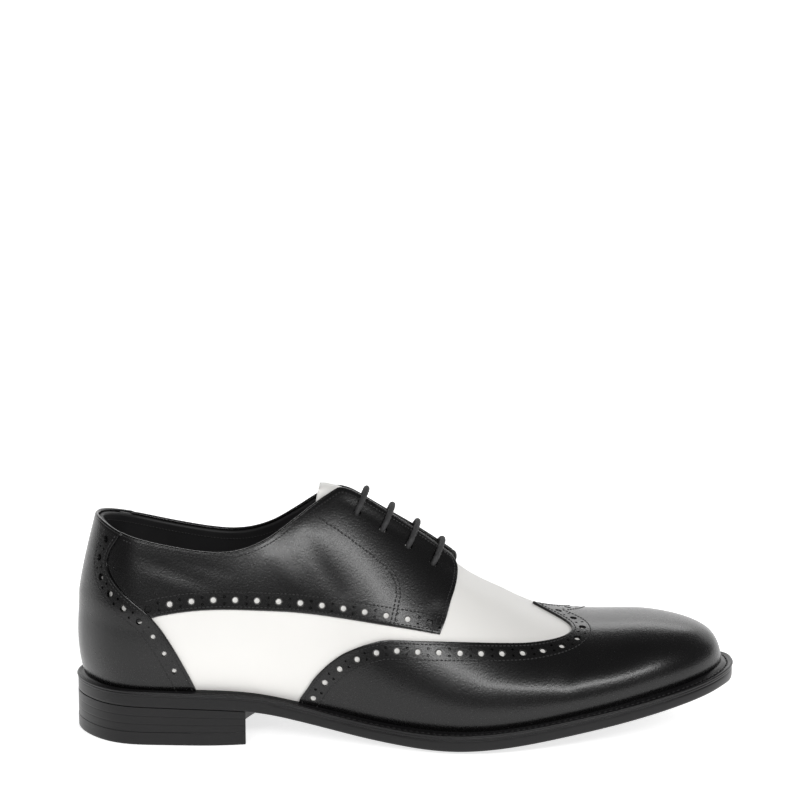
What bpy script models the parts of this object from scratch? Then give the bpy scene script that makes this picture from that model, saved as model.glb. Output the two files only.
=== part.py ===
"""Spectator shoe, right foot: two-tone wingtip derby, built as a maker's assembly.

Metres, +Z up, floor at z = 0. +X is the toe, -Y the outer (lateral) side, +Y the inner (medial) side.
Every leather piece is laid on one last surface. Its tables are in millimetres, as on a last maker's sheet.
"""
import bpy
import bmesh
from math import comb, cos, hypot, radians, sin
from mathutils import Vector

for old in list(bpy.data.objects):
    bpy.data.objects.remove(old, do_unlink=True)

MM = 0.001

# Sizes of the pieces, in millimetres.
LINING_WALL = 1.8          # upper shell: vamp leather with its lining
OVERLAY_LOW = 0.35         # air under an overlay
OVERLAY_HIGH = 1.55        # outer face of an overlay, above the shell
OVERLAY_LIFT = 1.0         # an overlay's foot is this far above the seat
SEAM_IN_V = 0.005          # air between counter and quarter: about 0.8 mm, in the last's own measure v
TOUCH = 0.1                # air between two layers of the sole
OUTSOLE_THICK = 5.3
SOLE_CAMBER = 2.3          # how far the forepart's middle drops below its edge
WELT_HEIGHT = 3.0          # at the crease against the upper
WELT_DROP = 1.1            # the welt's outer edge is this much lower
TOP_PIECE_THICK = 6.0      # rubber top piece, on the floor
INSOLE_THICK = 2.6
TONGUE_THICK = 2.0
LACE_THICK = 2.2
LACE_RUN_RISE = 1.3        # the run that joins the bars lies under them, between the facings
LACE_BOW = 3.0             # a bar's middle lies this much further forward than its eyelets

# Half sections of the last: six control points, as shares of half width and of height.
SECTION_SHAPES = {
    "toe_box": ((1.00, 0.00), (1.10, 0.13), (1.13, 0.58), (0.86, 0.93), (0.45, 1.00), (0.0, 1.0)),
    "instep": ((1.00, 0.00), (1.12, 0.14), (1.09, 0.42), (0.60, 0.80), (0.30, 1.00), (0.0, 1.0)),
    "heel_wall": ((1.00, 0.00), (1.12, 0.15), (1.18, 0.40), (0.99, 0.66), (0.89, 0.84), (0.80, 1.0)),
}

# One row per section, from the back of the heel to the toe tip. turn is the section's angle to the shoe's
# cross plane, in degrees. outer and inner are half widths at the seat. instep and heel_wall are the shares
# of those two shapes, and toe_box has the rest.
COLUMNS = ("x", "y", "turn", "outer", "inner", "seat_z", "top_z", "instep", "heel_wall")
LAST = (
    (-112.0, 0.0, 90, 35.2, 35.2, 23.0, 103.0, 0.00, 1.00),
    (-112.0, 0.0, 62, 33.3, 33.3, 23.0, 101.0, 0.00, 1.00),
    (-112.0, 0.0, 36, 32.0, 32.0, 23.0, 97.5, 0.00, 1.00),
    (-110.0, 0.0, 14, 30.6, 30.6, 22.8, 94.0, 0.00, 1.00),
    (-101.0, 0.0, 3, 30.2, 30.0, 22.4, 92.0, 0.00, 1.00),
    (-86.0, 0.2, 0, 29.8, 29.0, 21.8, 91.0, 0.00, 0.98),
    (-68.0, 0.6, 0, 28.4, 26.2, 19.8, 94.6, 0.10, 0.82),
    (-50.0, 1.0, 0, 27.2, 23.2, 15.7, 104.5, 0.40, 0.45),
    (-32.0, 1.6, 0, 29.6, 22.4, 11.9, 113.0, 0.78, 0.12),
    (-14.0, 2.2, 0, 35.2, 24.7, 9.1, 105.0, 0.95, 0.00),
    (4.0, 2.8, 0, 40.8, 30.2, 7.4, 92.9, 1.00, 0.00),
    (22.0, 3.5, 0, 45.6, 35.6, 7.0, 79.2, 0.92, 0.00),
    (40.0, 4.2, 0, 47.9, 39.0, 8.4, 66.0, 0.75, 0.00),
    (58.0, 4.9, 0, 47.6, 40.0, 11.0, 56.0, 0.50, 0.00),
    (76.0, 5.6, 0, 45.5, 39.0, 14.1, 50.8, 0.25, 0.00),
    (94.0, 6.2, 0, 41.6, 36.2, 17.2, 49.5, 0.10, 0.00),
    (111.0, 6.8, 0, 35.7, 31.6, 20.1, 49.4, 0.00, 0.00),
    (126.0, 7.2, 0, 27.8, 24.9, 22.6, 47.4, 0.00, 0.00),
    (137.0, 7.5, 0, 19.0, 17.8, 24.3, 43.8, 0.00, 0.00),
    (144.0, 7.7, 0, 9.6, 9.3, 25.3, 37.6, 0.00, 0.00),
    (146.5, 7.8, 0, 0.0, 0.0, 25.6, 25.6, 0.00, 0.00),
)
LAST_STEPS = len(LAST) - 1

# Edges of the panels as seen from the side: (x, z) on the shoe.
TOPLINE = ((-140, 99.6), (-126, 94.2), (-108, 89.8), (-87, 86.6), (-74, 87.4), (-62, 91.8),
           (-50, 99.6), (-40, 106.6), (-31, 111.4), (-24, 112.5))
QUARTER_FOOT = ((-125, 55.0), (-110, 59.8), (-88, 62.2), (-60, 60.6), (-30, 57.4), (0, 53.6), (20, 50.4))
WING_LINE = ((-52, 15.5), (-46, 23.0), (-40, 31.5), (-30, 40.2), (-15, 47.2), (6, 49.0), (30, 47.8),
             (54, 47.3), (66, 48.3), (74, 50.0))
COUNTER_EDGE = ((101, -126.0), (95, -128.0), (85, -133.6), (78, -133.4), (70, -127.4), (60, -115.6),
                (50, -107.6), (35, -99.2), (22, -93.4))          # (z, x)
WING_TAIL_X = -51.0
FACING_CORNER_X = -25.5     # the top corner of a facing
FACING_FRONT_X = 23.0       # its lower front corner, on the instep
FACING_FRONT_LEAN = 7.5     # the front edge runs back this far on its way down
FACING_GAP = (5.6, 6.8)     # half the gap between the facings, at the top and at the front
THROAT_HALF = 12.5          # half width of the shell's throat, hidden under the facings
THROAT_FRONT_X = 18.0
WING_FRONT_X = 76.0         # the white vamp reaches this far forward on each side of the peak
WING_PEAK_X = 59.0          # and the cap's peak reaches back to here on the ridge
WING_FRONT_T = 0.765        # height share of that forward point on the last
TONGUE_TOP_X = -38.5
TONGUE_FRONT_X = 33.0
TONGUE_HALF = 21.0

# Reach of the sole's edge beyond the seat line, by distance along the shoe: (x, outer side, inner side).
SOLE_REACH = ((-147, 5.0, 5.0), (-112, 4.5, 4.5), (-86, 5.5, 5.2), (-62, 4.8, 3.2), (-48, 5.3, 2.6),
              (-30, 6.1, 2.8), (-8, 6.4, 4.2), (12, 7.3, 5.4), (40, 7.1, 5.9), (66, 7.0, 6.1),
              (96, 7.3, 6.3), (126, 7.2, 6.6), (146.5, 6.2, 6.2))
HEEL_BREAST = (-72.5, -76.0, -60.0)      # x of the breast at its outer edge, middle and inner edge
HEEL_FLARE = 0.5                         # the top piece stands out this far beyond the seat
EYELETS = ((-22.4, 13.0), (-10.6, 14.2), (1.0, 15.6), (12.4, 16.8))    # (x, distance from the gap's middle)


def natural_spline(values):
    """Second derivatives of a natural cubic spline through evenly spaced values."""
    n = len(values)
    upper, second = [0.0] * n, [0.0] * n
    for i in range(1, n - 1):
        pivot = 4.0 - upper[i - 1]
        upper[i] = 1.0 / pivot
        second[i] = (6.0 * (values[i - 1] - 2.0 * values[i] + values[i + 1]) - second[i - 1]) / pivot
    for i in range(n - 2, 0, -1):
        second[i] -= upper[i] * second[i + 1]
    return second


def round_the_shoe(column):
    """A table column run from the outer toe tip back round the heel to the inner toe tip, with three rows
    mirrored beyond each tip so that the surface closes smoothly there."""
    value = {name: [row[k] for row in LAST] for k, name in enumerate(COLUMNS)}
    if column == "width":
        outer, inner = value["outer"][::-1], value["inner"][1:]
        return [-w for w in inner[-4:-1]] + outer + inner + [-w for w in outer[1:4][::-1]]
    if column == "height":
        one = [top - seat for top, seat in zip(value["top_z"], value["seat_z"])]
        both = one[::-1] + one[1:]
        return [-h for h in both[3:0:-1]] + both + [-h for h in both[-2:-5:-1]]
    one = value[column]
    both = one[::-1] + ([180.0 - a for a in one[1:]] if column == "turn" else one[1:])
    return both[3:0:-1] + both + both[-2:-5:-1]


SPLINES = {}
for name in ("x", "y", "turn", "width", "seat_z", "height", "instep", "heel_wall"):
    row_values = round_the_shoe(name)
    SPLINES[name] = (row_values, natural_spline(row_values))


def at_section(name, v):
    """A last measure at v, from -1 at the outer toe tip through 0 at the heel to +1 at the inner tip."""
    values, second = SPLINES[name]
    u = (v + 1.0) * LAST_STEPS + 3.0
    i = min(int(u), len(values) - 2)
    f = u - i
    g = 1.0 - f
    return g * values[i] + f * values[i + 1] + ((g**3 - g) * second[i] + (f**3 - f) * second[i + 1]) / 6.0


def last_point(v, t):
    """The upper's outer surface, in millimetres: v round the shoe, t from the seat (0) to the ridge (1)."""
    instep, heel_wall = at_section("instep", v), max(0.0, at_section("heel_wall", v) - 0.01)
    out = up = 0.0
    for share, shape in ((1 - instep - heel_wall, "toe_box"), (instep, "instep"), (heel_wall, "heel_wall")):
        for k, (wide, high) in enumerate(SECTION_SHAPES[shape]):
            weight = share * comb(5, k) * t**k * (1 - t)**(5 - k)
            out += weight * wide
            up += weight * high
    out *= at_section("width", v)
    angle = radians(at_section("turn", v))
    return Vector((at_section("x", v) - out * sin(angle), at_section("y", v) - out * cos(angle),
                   at_section("seat_z", v) + up * at_section("height", v)))


def last_normal(v, t):
    if abs(v) > 0.9985:
        return Vector((1.0, 0.0, 0.0))
    step = 0.0003
    low, high = max(t - step, 0.0), min(t + step, 1.0)
    along = last_point(v + step, t) - last_point(v - step, t)
    return (last_point(v, high) - last_point(v, low)).cross(along).normalized()


def smooth_through(points, x):
    """A curve through (x, value) points: cubic pieces whose slopes come from the neighbours."""
    if x <= points[0][0]:
        return points[0][1]
    if x >= points[-1][0]:
        return points[-1][1]
    slopes = []
    for i in range(len(points)):
        a, b = points[max(i - 1, 0)], points[min(i + 1, len(points) - 1)]
        slopes.append((b[1] - a[1]) / (b[0] - a[0]))
    i = max(k for k in range(len(points) - 1) if points[k][0] <= x)
    (x0, y0), (x1, y1) = points[i], points[i + 1]
    h = x1 - x0
    f = (x - x0) / h
    return ((1 + 2 * f) * (1 - f)**2 * y0 + f * (1 - f)**2 * h * slopes[i]
            + f * f * (3 - 2 * f) * y1 + f * f * (f - 1) * h * slopes[i + 1])


def solve(test, low, high):
    """The place between low and high where test changes sign."""
    rising = test(high) > 0
    for _ in range(30):
        middle = (low + high) / 2
        if (test(middle) > 0) == rising:
            high = middle
        else:
            low = middle
    return (low + high) / 2


def v_at(x, side):
    """v of the section whose axis is at x, forward of the heel's fan."""
    return side * solve(lambda v: at_section("x", v) - x, 0.12, 1.0)


def t_at_height(v, height_of_x):
    """t on section v where the surface meets a side-view line, given as height by x."""
    def above(t):
        point = last_point(v, t)
        return point.z - height_of_x(point.x)
    return 1.0 if above(1.0) < 0 else solve(above, 0.0, 1.0)


def foot_of_overlay(v):
    """t where an overlay starts, so that its lower lip stays above the outsole."""
    return solve(lambda t: last_point(v, t).z - last_point(v, 0.0).z - OVERLAY_LIFT, 0.0, 0.3)


def t_at_reach(v, half):
    """t on section v, high on the instep, where the surface is half away from the section's axis."""
    def nearer(t):
        point = last_point(v, t)
        return half - hypot(point.x - at_section("x", v), point.y - at_section("y", v))
    return 1.0 if nearer(1.0) < 0 else solve(nearer, 0.35, 1.0)


V_FRONT = v_at(FACING_FRONT_X, 1)
V_THROAT = v_at(THROAT_FRONT_X, 1)


def facing_edge(v):
    """t of a facing's free edge, along the gap."""
    share = (at_section("x", v) - FACING_CORNER_X) / (FACING_FRONT_X - FACING_CORNER_X)
    return t_at_reach(v, FACING_GAP[0] + share * (FACING_GAP[1] - FACING_GAP[0]))


def topline(v):
    return t_at_height(v, lambda x: smooth_through(TOPLINE, x))


def quarter_top(v):
    """The quarter's upper edge: the topline, then the facing's edge after the rounded top corner."""
    return min(topline(v), facing_edge(v)) if abs(v) > v_at(-36, 1) else topline(v)


def shell_top(v):
    """The lined shell ends just under the quarters' edge, and hides under the facings at the throat."""
    x = at_section("x", v)
    return min(quarter_top(v) - 0.006, t_at_reach(v, THROAT_HALF)) if x > -36 else quarter_top(v) - 0.006


def make_object(name, points, faces, colour, roughness):
    """One closed solid from points in millimetres, with its own material."""
    mesh = bpy.data.meshes.new(name)
    bm = bmesh.new()
    verts = [bm.verts.new(Vector(p) * MM) for p in points]
    for face in faces:
        ring = [verts[i] for k, i in enumerate(face) if i != face[k - 1]]
        if len(ring) > 2:
            bm.faces.new(ring)
    bmesh.ops.remove_doubles(bm, verts=bm.verts, dist=0.00001)
    bmesh.ops.recalc_face_normals(bm, faces=bm.faces)
    bm.to_mesh(mesh)
    bm.free()
    piece = bpy.data.objects.new(name, mesh)
    bpy.context.scene.collection.objects.link(piece)
    material = bpy.data.materials.new(name)
    material.use_nodes = True
    shader = material.node_tree.nodes["Principled BSDF"]
    shader.inputs["Base Color"].default_value = (*colour, 1.0)
    shader.inputs["Roughness"].default_value = roughness
    shader.inputs["Metallic"].default_value = 0.0
    mesh.materials.append(material)
    return piece


def leather(name, cells, low, high, colour, roughness):
    """Leather laid on the last: cells of (v, t) corners, thickened from low to high above the surface.
    low and high are millimetres, or functions of (v, t)."""
    index, places, rings = {}, [], []
    for cell in cells:
        ring = []
        for v, t in cell:
            point = last_point(v, t)
            key = tuple(round(c * 50) for c in point)
            if t > 0.9999 and abs(v) < 0.9999 and (point - last_point(-v, t)).length < 0.3:
                key = ("ridge", round(abs(v) * 10000))
            if key not in index:
                index[key] = len(places)
                places.append((v, t, point))
            if index[key] not in ring:
                ring.append(index[key])
        rings += [[ring[0], ring[k], ring[k + 1]] for k in range(1, len(ring) - 1)]
    count = len(places)
    points = []
    for level in (low, high):
        for v, t, point in places:
            rise = level(v, t) if callable(level) else level
            points.append(point + last_normal(v, t) * rise)
    faces = [[i + count for i in ring] for ring in rings] + [ring[::-1] for ring in rings]
    sides = {(ring[k - 1], ring[k]) for ring in rings for k in range(len(ring))}
    for a, b in sides:
        if (b, a) not in sides:
            faces.append([a, b, b + count, a + count])
    return make_object(name, points, faces, colour, roughness)


def grid_cells(columns):
    """Four-cornered cells between neighbouring columns, each a list of (v, t)."""
    return [(a[k], b[k], b[k + 1], a[k + 1])
            for a, b in zip(columns, columns[1:]) for k in range(len(a) - 1)]


def ladder(low, high, steps):
    return [low + (high - low) * k / steps for k in range(steps + 1)]


BLACK = (0.012, 0.012, 0.013)
WHITE = (0.86, 0.84, 0.80)

# Sections shared by the shell, the overlays and the sole, closer together round the heel and the toe.
STATIONS = ([0.0, 0.5, 1.0, 1.5, 2.0, 2.5, 3.0, 3.5, 4.0, 5.0, 5.5, 6.0, 6.5, 7.0, 7.5, 8.0]
            + [9, 10, 11, 12, 13, 14, 15, 16.0, 16.7, 17.4, 18.1, 18.7, 19.2, 19.6, 19.9, 20.0])
STATIONS = sorted([s / LAST_STEPS for s in STATIONS if abs(s / LAST_STEPS - V_THROAT) > 0.012] + [V_THROAT])
ROWS_LOW, ROWS_HIGH = 9, 3


def form_column(v):
    """Points up one section, shared by all forms so that their facets lie parallel: the seat, the overlays'
    foot, the shell's height, and from its edge on to the ridge."""
    if abs(v) < V_THROAT - 1e-6:
        edge = shell_top(v)
    else:
        edge = t_at_reach(v, THROAT_HALF * min(1.0, at_section("width", v) / 30.0))
    foot = min(foot_of_overlay(v), edge * 0.5)
    column = [0.0] + ladder(foot, edge, ROWS_LOW) + ladder(edge, 1.0, ROWS_HIGH)[1:]
    return [(v, t) for t in column]


def form_cells(first, last, low_row, rows):
    """Cells of the form between two places along the shoe, on the sides from first to last (signed v)."""
    ring = [-v for v in STATIONS[:0:-1]] + STATIONS
    ring = [v for v in ring if first - 1e-6 <= v <= last + 1e-6]
    cells = []
    for a, b in zip(ring, ring[1:]):
        top = rows(min(abs(a), abs(b)))
        cells += grid_cells([form_column(a)[low_row:top], form_column(b)[low_row:top]])
    return cells


ALL_ROWS = ROWS_LOW + ROWS_HIGH + 2


def build_upper():
    """The vamp with its lining: one hollow shell, open at the seat, the collar and the throat."""
    cells = form_cells(-1, 1, 0, lambda v: ALL_ROWS if v >= V_THROAT - 1e-6 else ROWS_LOW + 2)
    return leather("upper", cells, -LINING_WALL, 0.0, WHITE, 0.4)


def cut_overlay(piece, region, operation, low=-2.0, high=5.0):
    """Trims a form to a region of the last, drawn as cells and swept along the surface's normals."""
    cutter = leather(piece.name + "_cutter", region, low, high, WHITE, 0.5)
    cutter.hide_render = True
    cutter.display_type = "WIRE"
    cut = piece.modifiers.new("cut", "BOOLEAN")
    cut.operation = operation
    cut.solver = "EXACT"
    cut.object = cutter


def build_toe_cap():
    """Wingtip: the whole forepart less the white window between the wings and the peak on the ridge."""
    tail, peak, front = (v_at(x, 1) for x in (WING_TAIL_X, WING_PEAK_X, WING_FRONT_X))

    def rows(v):
        return ALL_ROWS if v > peak - 0.03 else ROWS_LOW + 2
    piece = leather("toe_cap", form_cells(-1, -tail, 1, rows) + form_cells(tail, 1, 1, rows),
                    OVERLAY_LOW, OVERLAY_HIGH, BLACK, 0.3)
    places = [tail - 0.06] + ladder(tail, front - 0.03, 14)
    places += [front - 0.03 * f for f in (0.66, 0.36, 0.14, 0.03)]
    window = []
    for side in (-1, 1):
        columns = []
        for v in places:
            wing = t_at_height(side * v, lambda x: smooth_through(WING_LINE, x)) if v >= tail else 0.0
            close = min(1.0, max(0.0, (v - peak) / (front - peak)))
            low = wing + (WING_FRONT_T - wing) * close**5
            high = 1.0 - (1.0 - WING_FRONT_T) * close**1.3 if close else 1.0
            columns.append([(side * v, t) for t in ladder(low, max(high, low + 0.004), 6)])
        window += grid_cells(columns if side > 0 else columns[::-1])
    cut_overlay(piece, window, "DIFFERENCE")
    return piece


def counter_half_angle(t):
    """How far the heel counter reaches round from the back seam, as v, at height share t."""
    def past_edge(v):
        point = last_point(v, t)
        return point.x - smooth_through(tuple(sorted(COUNTER_EDGE)), point.z)
    return solve(past_edge, 0.01, 0.30)


def build_heel_counter():
    piece = leather("heel_counter", form_cells(-0.28, 0.28, 1, lambda v: ALL_ROWS),
                    OVERLAY_LOW, OVERLAY_HIGH, BLACK, 0.3)
    rows = []
    for t in ladder(0.0, 1.0, 16):
        reach = counter_half_angle(t)
        rows.append([(v, min(t, topline(v))) for v in ladder(-reach, reach, 16)])
    top = rows.index([row for row in rows if row[8][1] >= topline(0.0) - 0.001][0])
    cut_overlay(piece, grid_cells(rows[:top + 1]), "INTERSECT")
    return piece


def build_quarter(name, side):
    """A quarter with its eyelet facing: ruled from its brogued foot up to the topline and facing edge."""
    reach = sorted((side * 0.02, side * (V_FRONT + 0.06)))
    piece = leather(name, form_cells(reach[0], reach[1], 1, lambda v: ALL_ROWS),
                    OVERLAY_LOW, OVERLAY_HIGH, BLACK, 0.3)
    foot_front = v_at(FACING_FRONT_X - FACING_FRONT_LEAN, 1)
    columns = []
    for k in range(31):
        column = []
        for r in ladder(0.0, 1.0, 10):
            t = 0.5 + 0.45 * r
            back = counter_half_angle(t) + SEAM_IN_V
            front = foot_front + (V_FRONT - foot_front) * min(1.0, r / 0.7)
            v = side * (back + (front - back) * k / 30)
            foot = t_at_height(v, lambda x: smooth_through(QUARTER_FOOT, x))
            near_back = (1 - k / 30)**8
            t = (foot + (quarter_top(v) - foot) * r) * (1 - near_back) + t * near_back
            column.append((v, t))
        columns.append(column)
    cut_overlay(piece, grid_cells(columns if side > 0 else columns[::-1]), "INTERSECT")
    return piece


def tongue_lift(v, t):
    """Height of the outer face: under the shell, and standing up where it comes out past the topline."""
    free = max(0.0, (v_at(-24.0, 1) - abs(v)) / (v_at(-24.0, 1) - v_at(TONGUE_TOP_X, 1)))
    bare = min(1.0, max(0.0, (t - quarter_top(v) - 0.01) / 0.10))
    return -LINING_WALL - 0.35 + 4.5 * min(1.0, free)**1.5 * bare


def build_tongue():
    end, front = v_at(TONGUE_TOP_X, 1), v_at(TONGUE_FRONT_X, 1)
    cells = (form_cells(-front - 0.03, 0.06 - end, 1, lambda v: ALL_ROWS)
             + form_cells(end - 0.06, front + 0.03, 1, lambda v: ALL_ROWS))
    over_ridge = [v for v in STATIONS if end - 0.06 <= v <= front]
    cells += [((-a, 1.0), (a, 1.0), (b, 1.0), (-b, 1.0)) for a, b in zip(over_ridge, over_ridge[1:])]
    piece = leather("tongue", cells, lambda v, t: tongue_lift(v, t) - TONGUE_THICK, tongue_lift,
                    WHITE, 0.45)
    rows = []
    for k in range(17):
        row = []
        for j in range(-6, 7):
            across = abs(j) / 6
            start = end - 0.035 * across**2
            v = start + (front - start) * k / 16
            half = TONGUE_HALF * (1 - 0.25 * k / 16) * across
            row.append((-v if j < 0 else v, t_at_reach(-v if j < 0 else v, half) if j else 1.0))
        rows.append(row)
    cut_overlay(piece, grid_cells(rows), "INTERSECT", -7.0, 6.0)
    return piece


def seat_outline(v, reach):
    """A plan point outside the seat line by reach, with the seat's height."""
    here = last_point(v, 0.0)
    if abs(v) > 0.9999:
        return Vector((here.x + reach, here.y, here.z))
    along = last_point(min(v + 0.0005, 1.0), 0.0) - last_point(max(v - 0.0005, -1.0), 0.0)
    out = Vector((along.y, -along.x, 0.0)).normalized()
    return here - out * reach


def sole_reach(v):
    x = last_point(v, 0.0).x
    outer = smooth_through([row[:2] for row in SOLE_REACH], x)
    inner = smooth_through([(row[0], row[2]) for row in SOLE_REACH], x)
    blend = min(1.0, max(0.0, 0.5 + 12.0 * v)) if abs(v) < 0.5 else (1.0 if v > 0 else 0.0)
    tip = max(0.0, (abs(v) - 0.9) / 0.1)
    return (outer + (inner - outer) * blend) * (1 - tip) + tip * SOLE_REACH[-1][1]


def layered_slab(name, rows, colour, roughness):
    """A slab from rows of (low point, high point) pairs running across the shoe, heel to toe."""
    points, faces = [], []
    width = len(rows[0])
    for row in rows:
        for low, high in row:
            points += [low, high]

    def at(i, j, level):
        return 2 * (i * width + j) + level
    for i in range(len(rows) - 1):
        for j in range(width - 1):
            faces.append([at(i, j, 0), at(i + 1, j, 0), at(i + 1, j + 1, 0), at(i, j + 1, 0)])
            faces.append([at(i, j, 1), at(i, j + 1, 1), at(i + 1, j + 1, 1), at(i + 1, j, 1)])
        faces.append([at(i, 0, 0), at(i, 0, 1), at(i + 1, 0, 1), at(i + 1, 0, 0)])
        end = width - 1
        faces.append([at(i, end, 0), at(i + 1, end, 0), at(i + 1, end, 1), at(i, end, 1)])
    for i in (0, len(rows) - 1):
        for j in range(width - 1):
            faces.append([at(i, j, 0), at(i, j + 1, 0), at(i, j + 1, 1), at(i, j, 1)])
    return make_object(name, points, faces, colour, roughness)


def outsole_under(x, share):
    """Height of the outsole's underside: flat across at the edge, cambered down under the forepart."""
    seat = smooth_through([(last_point(v, 0.0).x, last_point(v, 0.0).z) for v in SEAT_LINE], x)
    edge = seat - OUTSOLE_THICK
    forepart = min(1.0, max(0.0, (x + 45.0) / 45.0)) * min(1.0, max(0.0, (140.0 - x) / 40.0))
    return max(0.0, edge - SOLE_CAMBER * forepart * share)


SEAT_LINE = [0.001 + 0.999 * k / 60 for k in range(61)]


def build_outsole():
    rows = []
    for v in STATIONS:
        outer, inner = (seat_outline(side * v, sole_reach(side * v)) for side in (-1, 1))
        row = []
        for share in (0.0, 0.14, 0.5, 0.86, 1.0):
            spot = outer.lerp(inner, share)
            camber = 0.0 if share in (0.0, 1.0) else 1.0
            low = Vector((spot.x, spot.y, outsole_under(spot.x, camber)))
            row.append((low, Vector((spot.x, spot.y, spot.z - TOUCH))))
        rows.append(row)
    return layered_slab("outsole", rows, BLACK, 0.4)


def build_insole():
    rows = []
    for v in STATIONS[:-1]:
        v = min(max(v, 0.012), 0.985)
        outer, inner = (seat_outline(side * v, -LINING_WALL - 0.7) for side in (-1, 1))
        rows.append([(spot + Vector((0, 0, 2.5 * TOUCH)), spot + Vector((0, 0, INSOLE_THICK)))
                     for spot in (outer, outer.lerp(inner, 0.5), inner)])
    rows = [row for k, row in enumerate(rows) if k == 0 or row[1][0].x - rows[k - 1][1][0].x > 0.5]
    return layered_slab("insole", rows, BLACK, 0.6)


def build_welt():
    """A ring round the upper's foot, from the sole's edge to the crease."""
    points, faces = [], []
    ring = [-v for v in STATIONS[::-1]] + STATIONS[1:-1]
    clear = OVERLAY_HIGH + 0.35
    for v in ring:
        seat = last_point(v, 0.0)
        edge = seat_outline(v, sole_reach(v))
        out = Vector((edge.x - seat.x, edge.y - seat.y, 0.0)).normalized()
        wall = []
        for rise in (0.0, WELT_HEIGHT / 2, WELT_HEIGHT):
            def clear_of_overlay(t):
                return last_point(v, t) + last_normal(v, t) * clear
            t = solve(lambda t: clear_of_overlay(t).z - seat.z - rise, 0.0, 0.4) if abs(v) < 0.99 else 0.0
            spot = clear_of_overlay(t)
            wall.append(Vector((spot.x, spot.y, seat.z + rise)) + out * 0.1)
        points += [wall[0], edge, edge + Vector((0, 0, WELT_HEIGHT - WELT_DROP)), wall[2], wall[1]]
    count, sides = len(ring), 5
    for i in range(count):
        j = (i + 1) % count
        for k in range(sides):
            m = (k + 1) % sides
            faces.append([sides * i + k, sides * j + k, sides * j + m, sides * i + m])
    return make_object("welt", points, faces, BLACK, 0.4)


def heel_rows(low_of, high_of, flare):
    """Rows across the heel, from its back to the breast, which bows back in the middle."""
    outer_x, middle_x, inner_x = HEEL_BREAST
    ends = []
    for side, breast_x in ((-1, outer_x), (1, inner_x)):
        ends.append(solve(lambda v: seat_outline(side * v, sole_reach(side * v)).x - breast_x, 0.05, 0.6))
    bow = middle_x - (outer_x + inner_x) / 2
    rows = []
    for k in range(15):
        share = k / 14
        outer, inner = (seat_outline(side * end * share, sole_reach(side * end * share) + flare)
                        for side, end in zip((-1, 1), ends))
        row = []
        for across in ladder(0.0, 1.0, 6):
            spot = outer.lerp(inner, across)
            spot.x += bow * 4 * across * (1 - across) * share**2
            row.append([Vector((spot.x, spot.y, level(spot.x))) for level in (low_of, high_of)])
        rows.append(row)
    return rows


def build_heel():
    layered_slab("heel_stack", heel_rows(lambda x: TOP_PIECE_THICK + TOUCH,
                                         lambda x: outsole_under(x, 0.0) - 0.15, 0.3), BLACK, 0.4)
    layered_slab("heel_top_piece", heel_rows(lambda x: 0.0, lambda x: TOP_PIECE_THICK, HEEL_FLARE),
                 BLACK, 0.6)


def build_lace():
    """Four bars across the facings, each ending at its eyelets, joined down the middle by one run that
    stays above the tongue. It is one solid."""
    half = LACE_THICK / 2
    clear = OVERLAY_HIGH + 0.25
    points, faces = [], []

    def tube(path):
        start = len(points)
        for k, centre in enumerate(path):
            along = (path[min(k + 1, len(path) - 1)] - path[max(k - 1, 0)]).normalized()
            side = along.cross(Vector((0.3, 0.0, 1.0))).normalized()
            up = side.cross(along)
            for a in range(6):
                turn = radians(60 * a)
                points.append(centre + (side * cos(turn) + up * sin(turn)) * half)
        for k in range(len(path) - 1):
            for a in range(6):
                b = (a + 1) % 6
                ring = start + 6 * k
                faces.append([ring + a, ring + b, ring + 6 + b, ring + 6 + a])
        faces.append([start + a for a in range(6)][::-1])
        faces.append([start + 6 * (len(path) - 1) + a for a in range(6)])

    tubes = []
    for x, reach in EYELETS:
        path = []
        for across in ladder(-reach, reach, 10):
            forward = LACE_BOW * cos(radians(90) * across / reach)
            v = v_at(x + forward, -1 if across < 0 else 1)
            t = t_at_reach(v, abs(across)) if abs(across) > 0.5 else 1.0
            path.append(last_point(v, t) + last_normal(v, t) * (clear + half))
        tubes.append(path)
    spine = []
    for k in range(13):
        x = EYELETS[0][0] + (EYELETS[-1][0] - EYELETS[0][0]) * k / 12 + LACE_BOW
        v = v_at(x, 1)
        spine.append(last_point(v, 1.0) + last_normal(v, 1.0) * LACE_RUN_RISE)
    pieces = []
    for k, path in enumerate(tubes + [spine]):
        points, faces = [], []
        tube(path)
        pieces.append(make_object("lace" if k == 0 else "lace_part_%d" % k, points, faces, BLACK, 0.7))
    lace = pieces[0]
    for part in pieces[1:]:
        join = lace.modifiers.new("join", "BOOLEAN")
        join.operation = "UNION"
        join.solver = "EXACT"
        join.object = part
        part.hide_render = True
        part.display_type = "WIRE"
    return lace


build_upper()
build_toe_cap()
build_heel_counter()
build_quarter("quarter_lateral", -1)
build_quarter("quarter_medial", 1)
build_tongue()
build_insole()
build_welt()
build_outsole()
build_heel()
build_lace()
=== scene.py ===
"""Looks of the spectator shoe: a two-tone wingtip derby, right foot, in black and white leather.

Metres, +Z up, floor at z = 0, toe towards +X, outer (lateral) side towards -Y. Every leather piece is laid
on the same last surface as the solids, whose tables are in millimetres, as on a last maker's sheet. A place
on the last is (v, t): v runs round the shoe from -1 at the outer toe tip over 0 at the heel to +1 at the
inner tip, and t from 0 at the seat to 1 on the ridge. Past 1 it goes on down the other side.
"""
from functools import lru_cache
from math import comb, cos, exp, hypot, pi, radians, sin

import bmesh
import bpy
import numpy as np
from mathutils import Matrix, Vector


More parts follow.
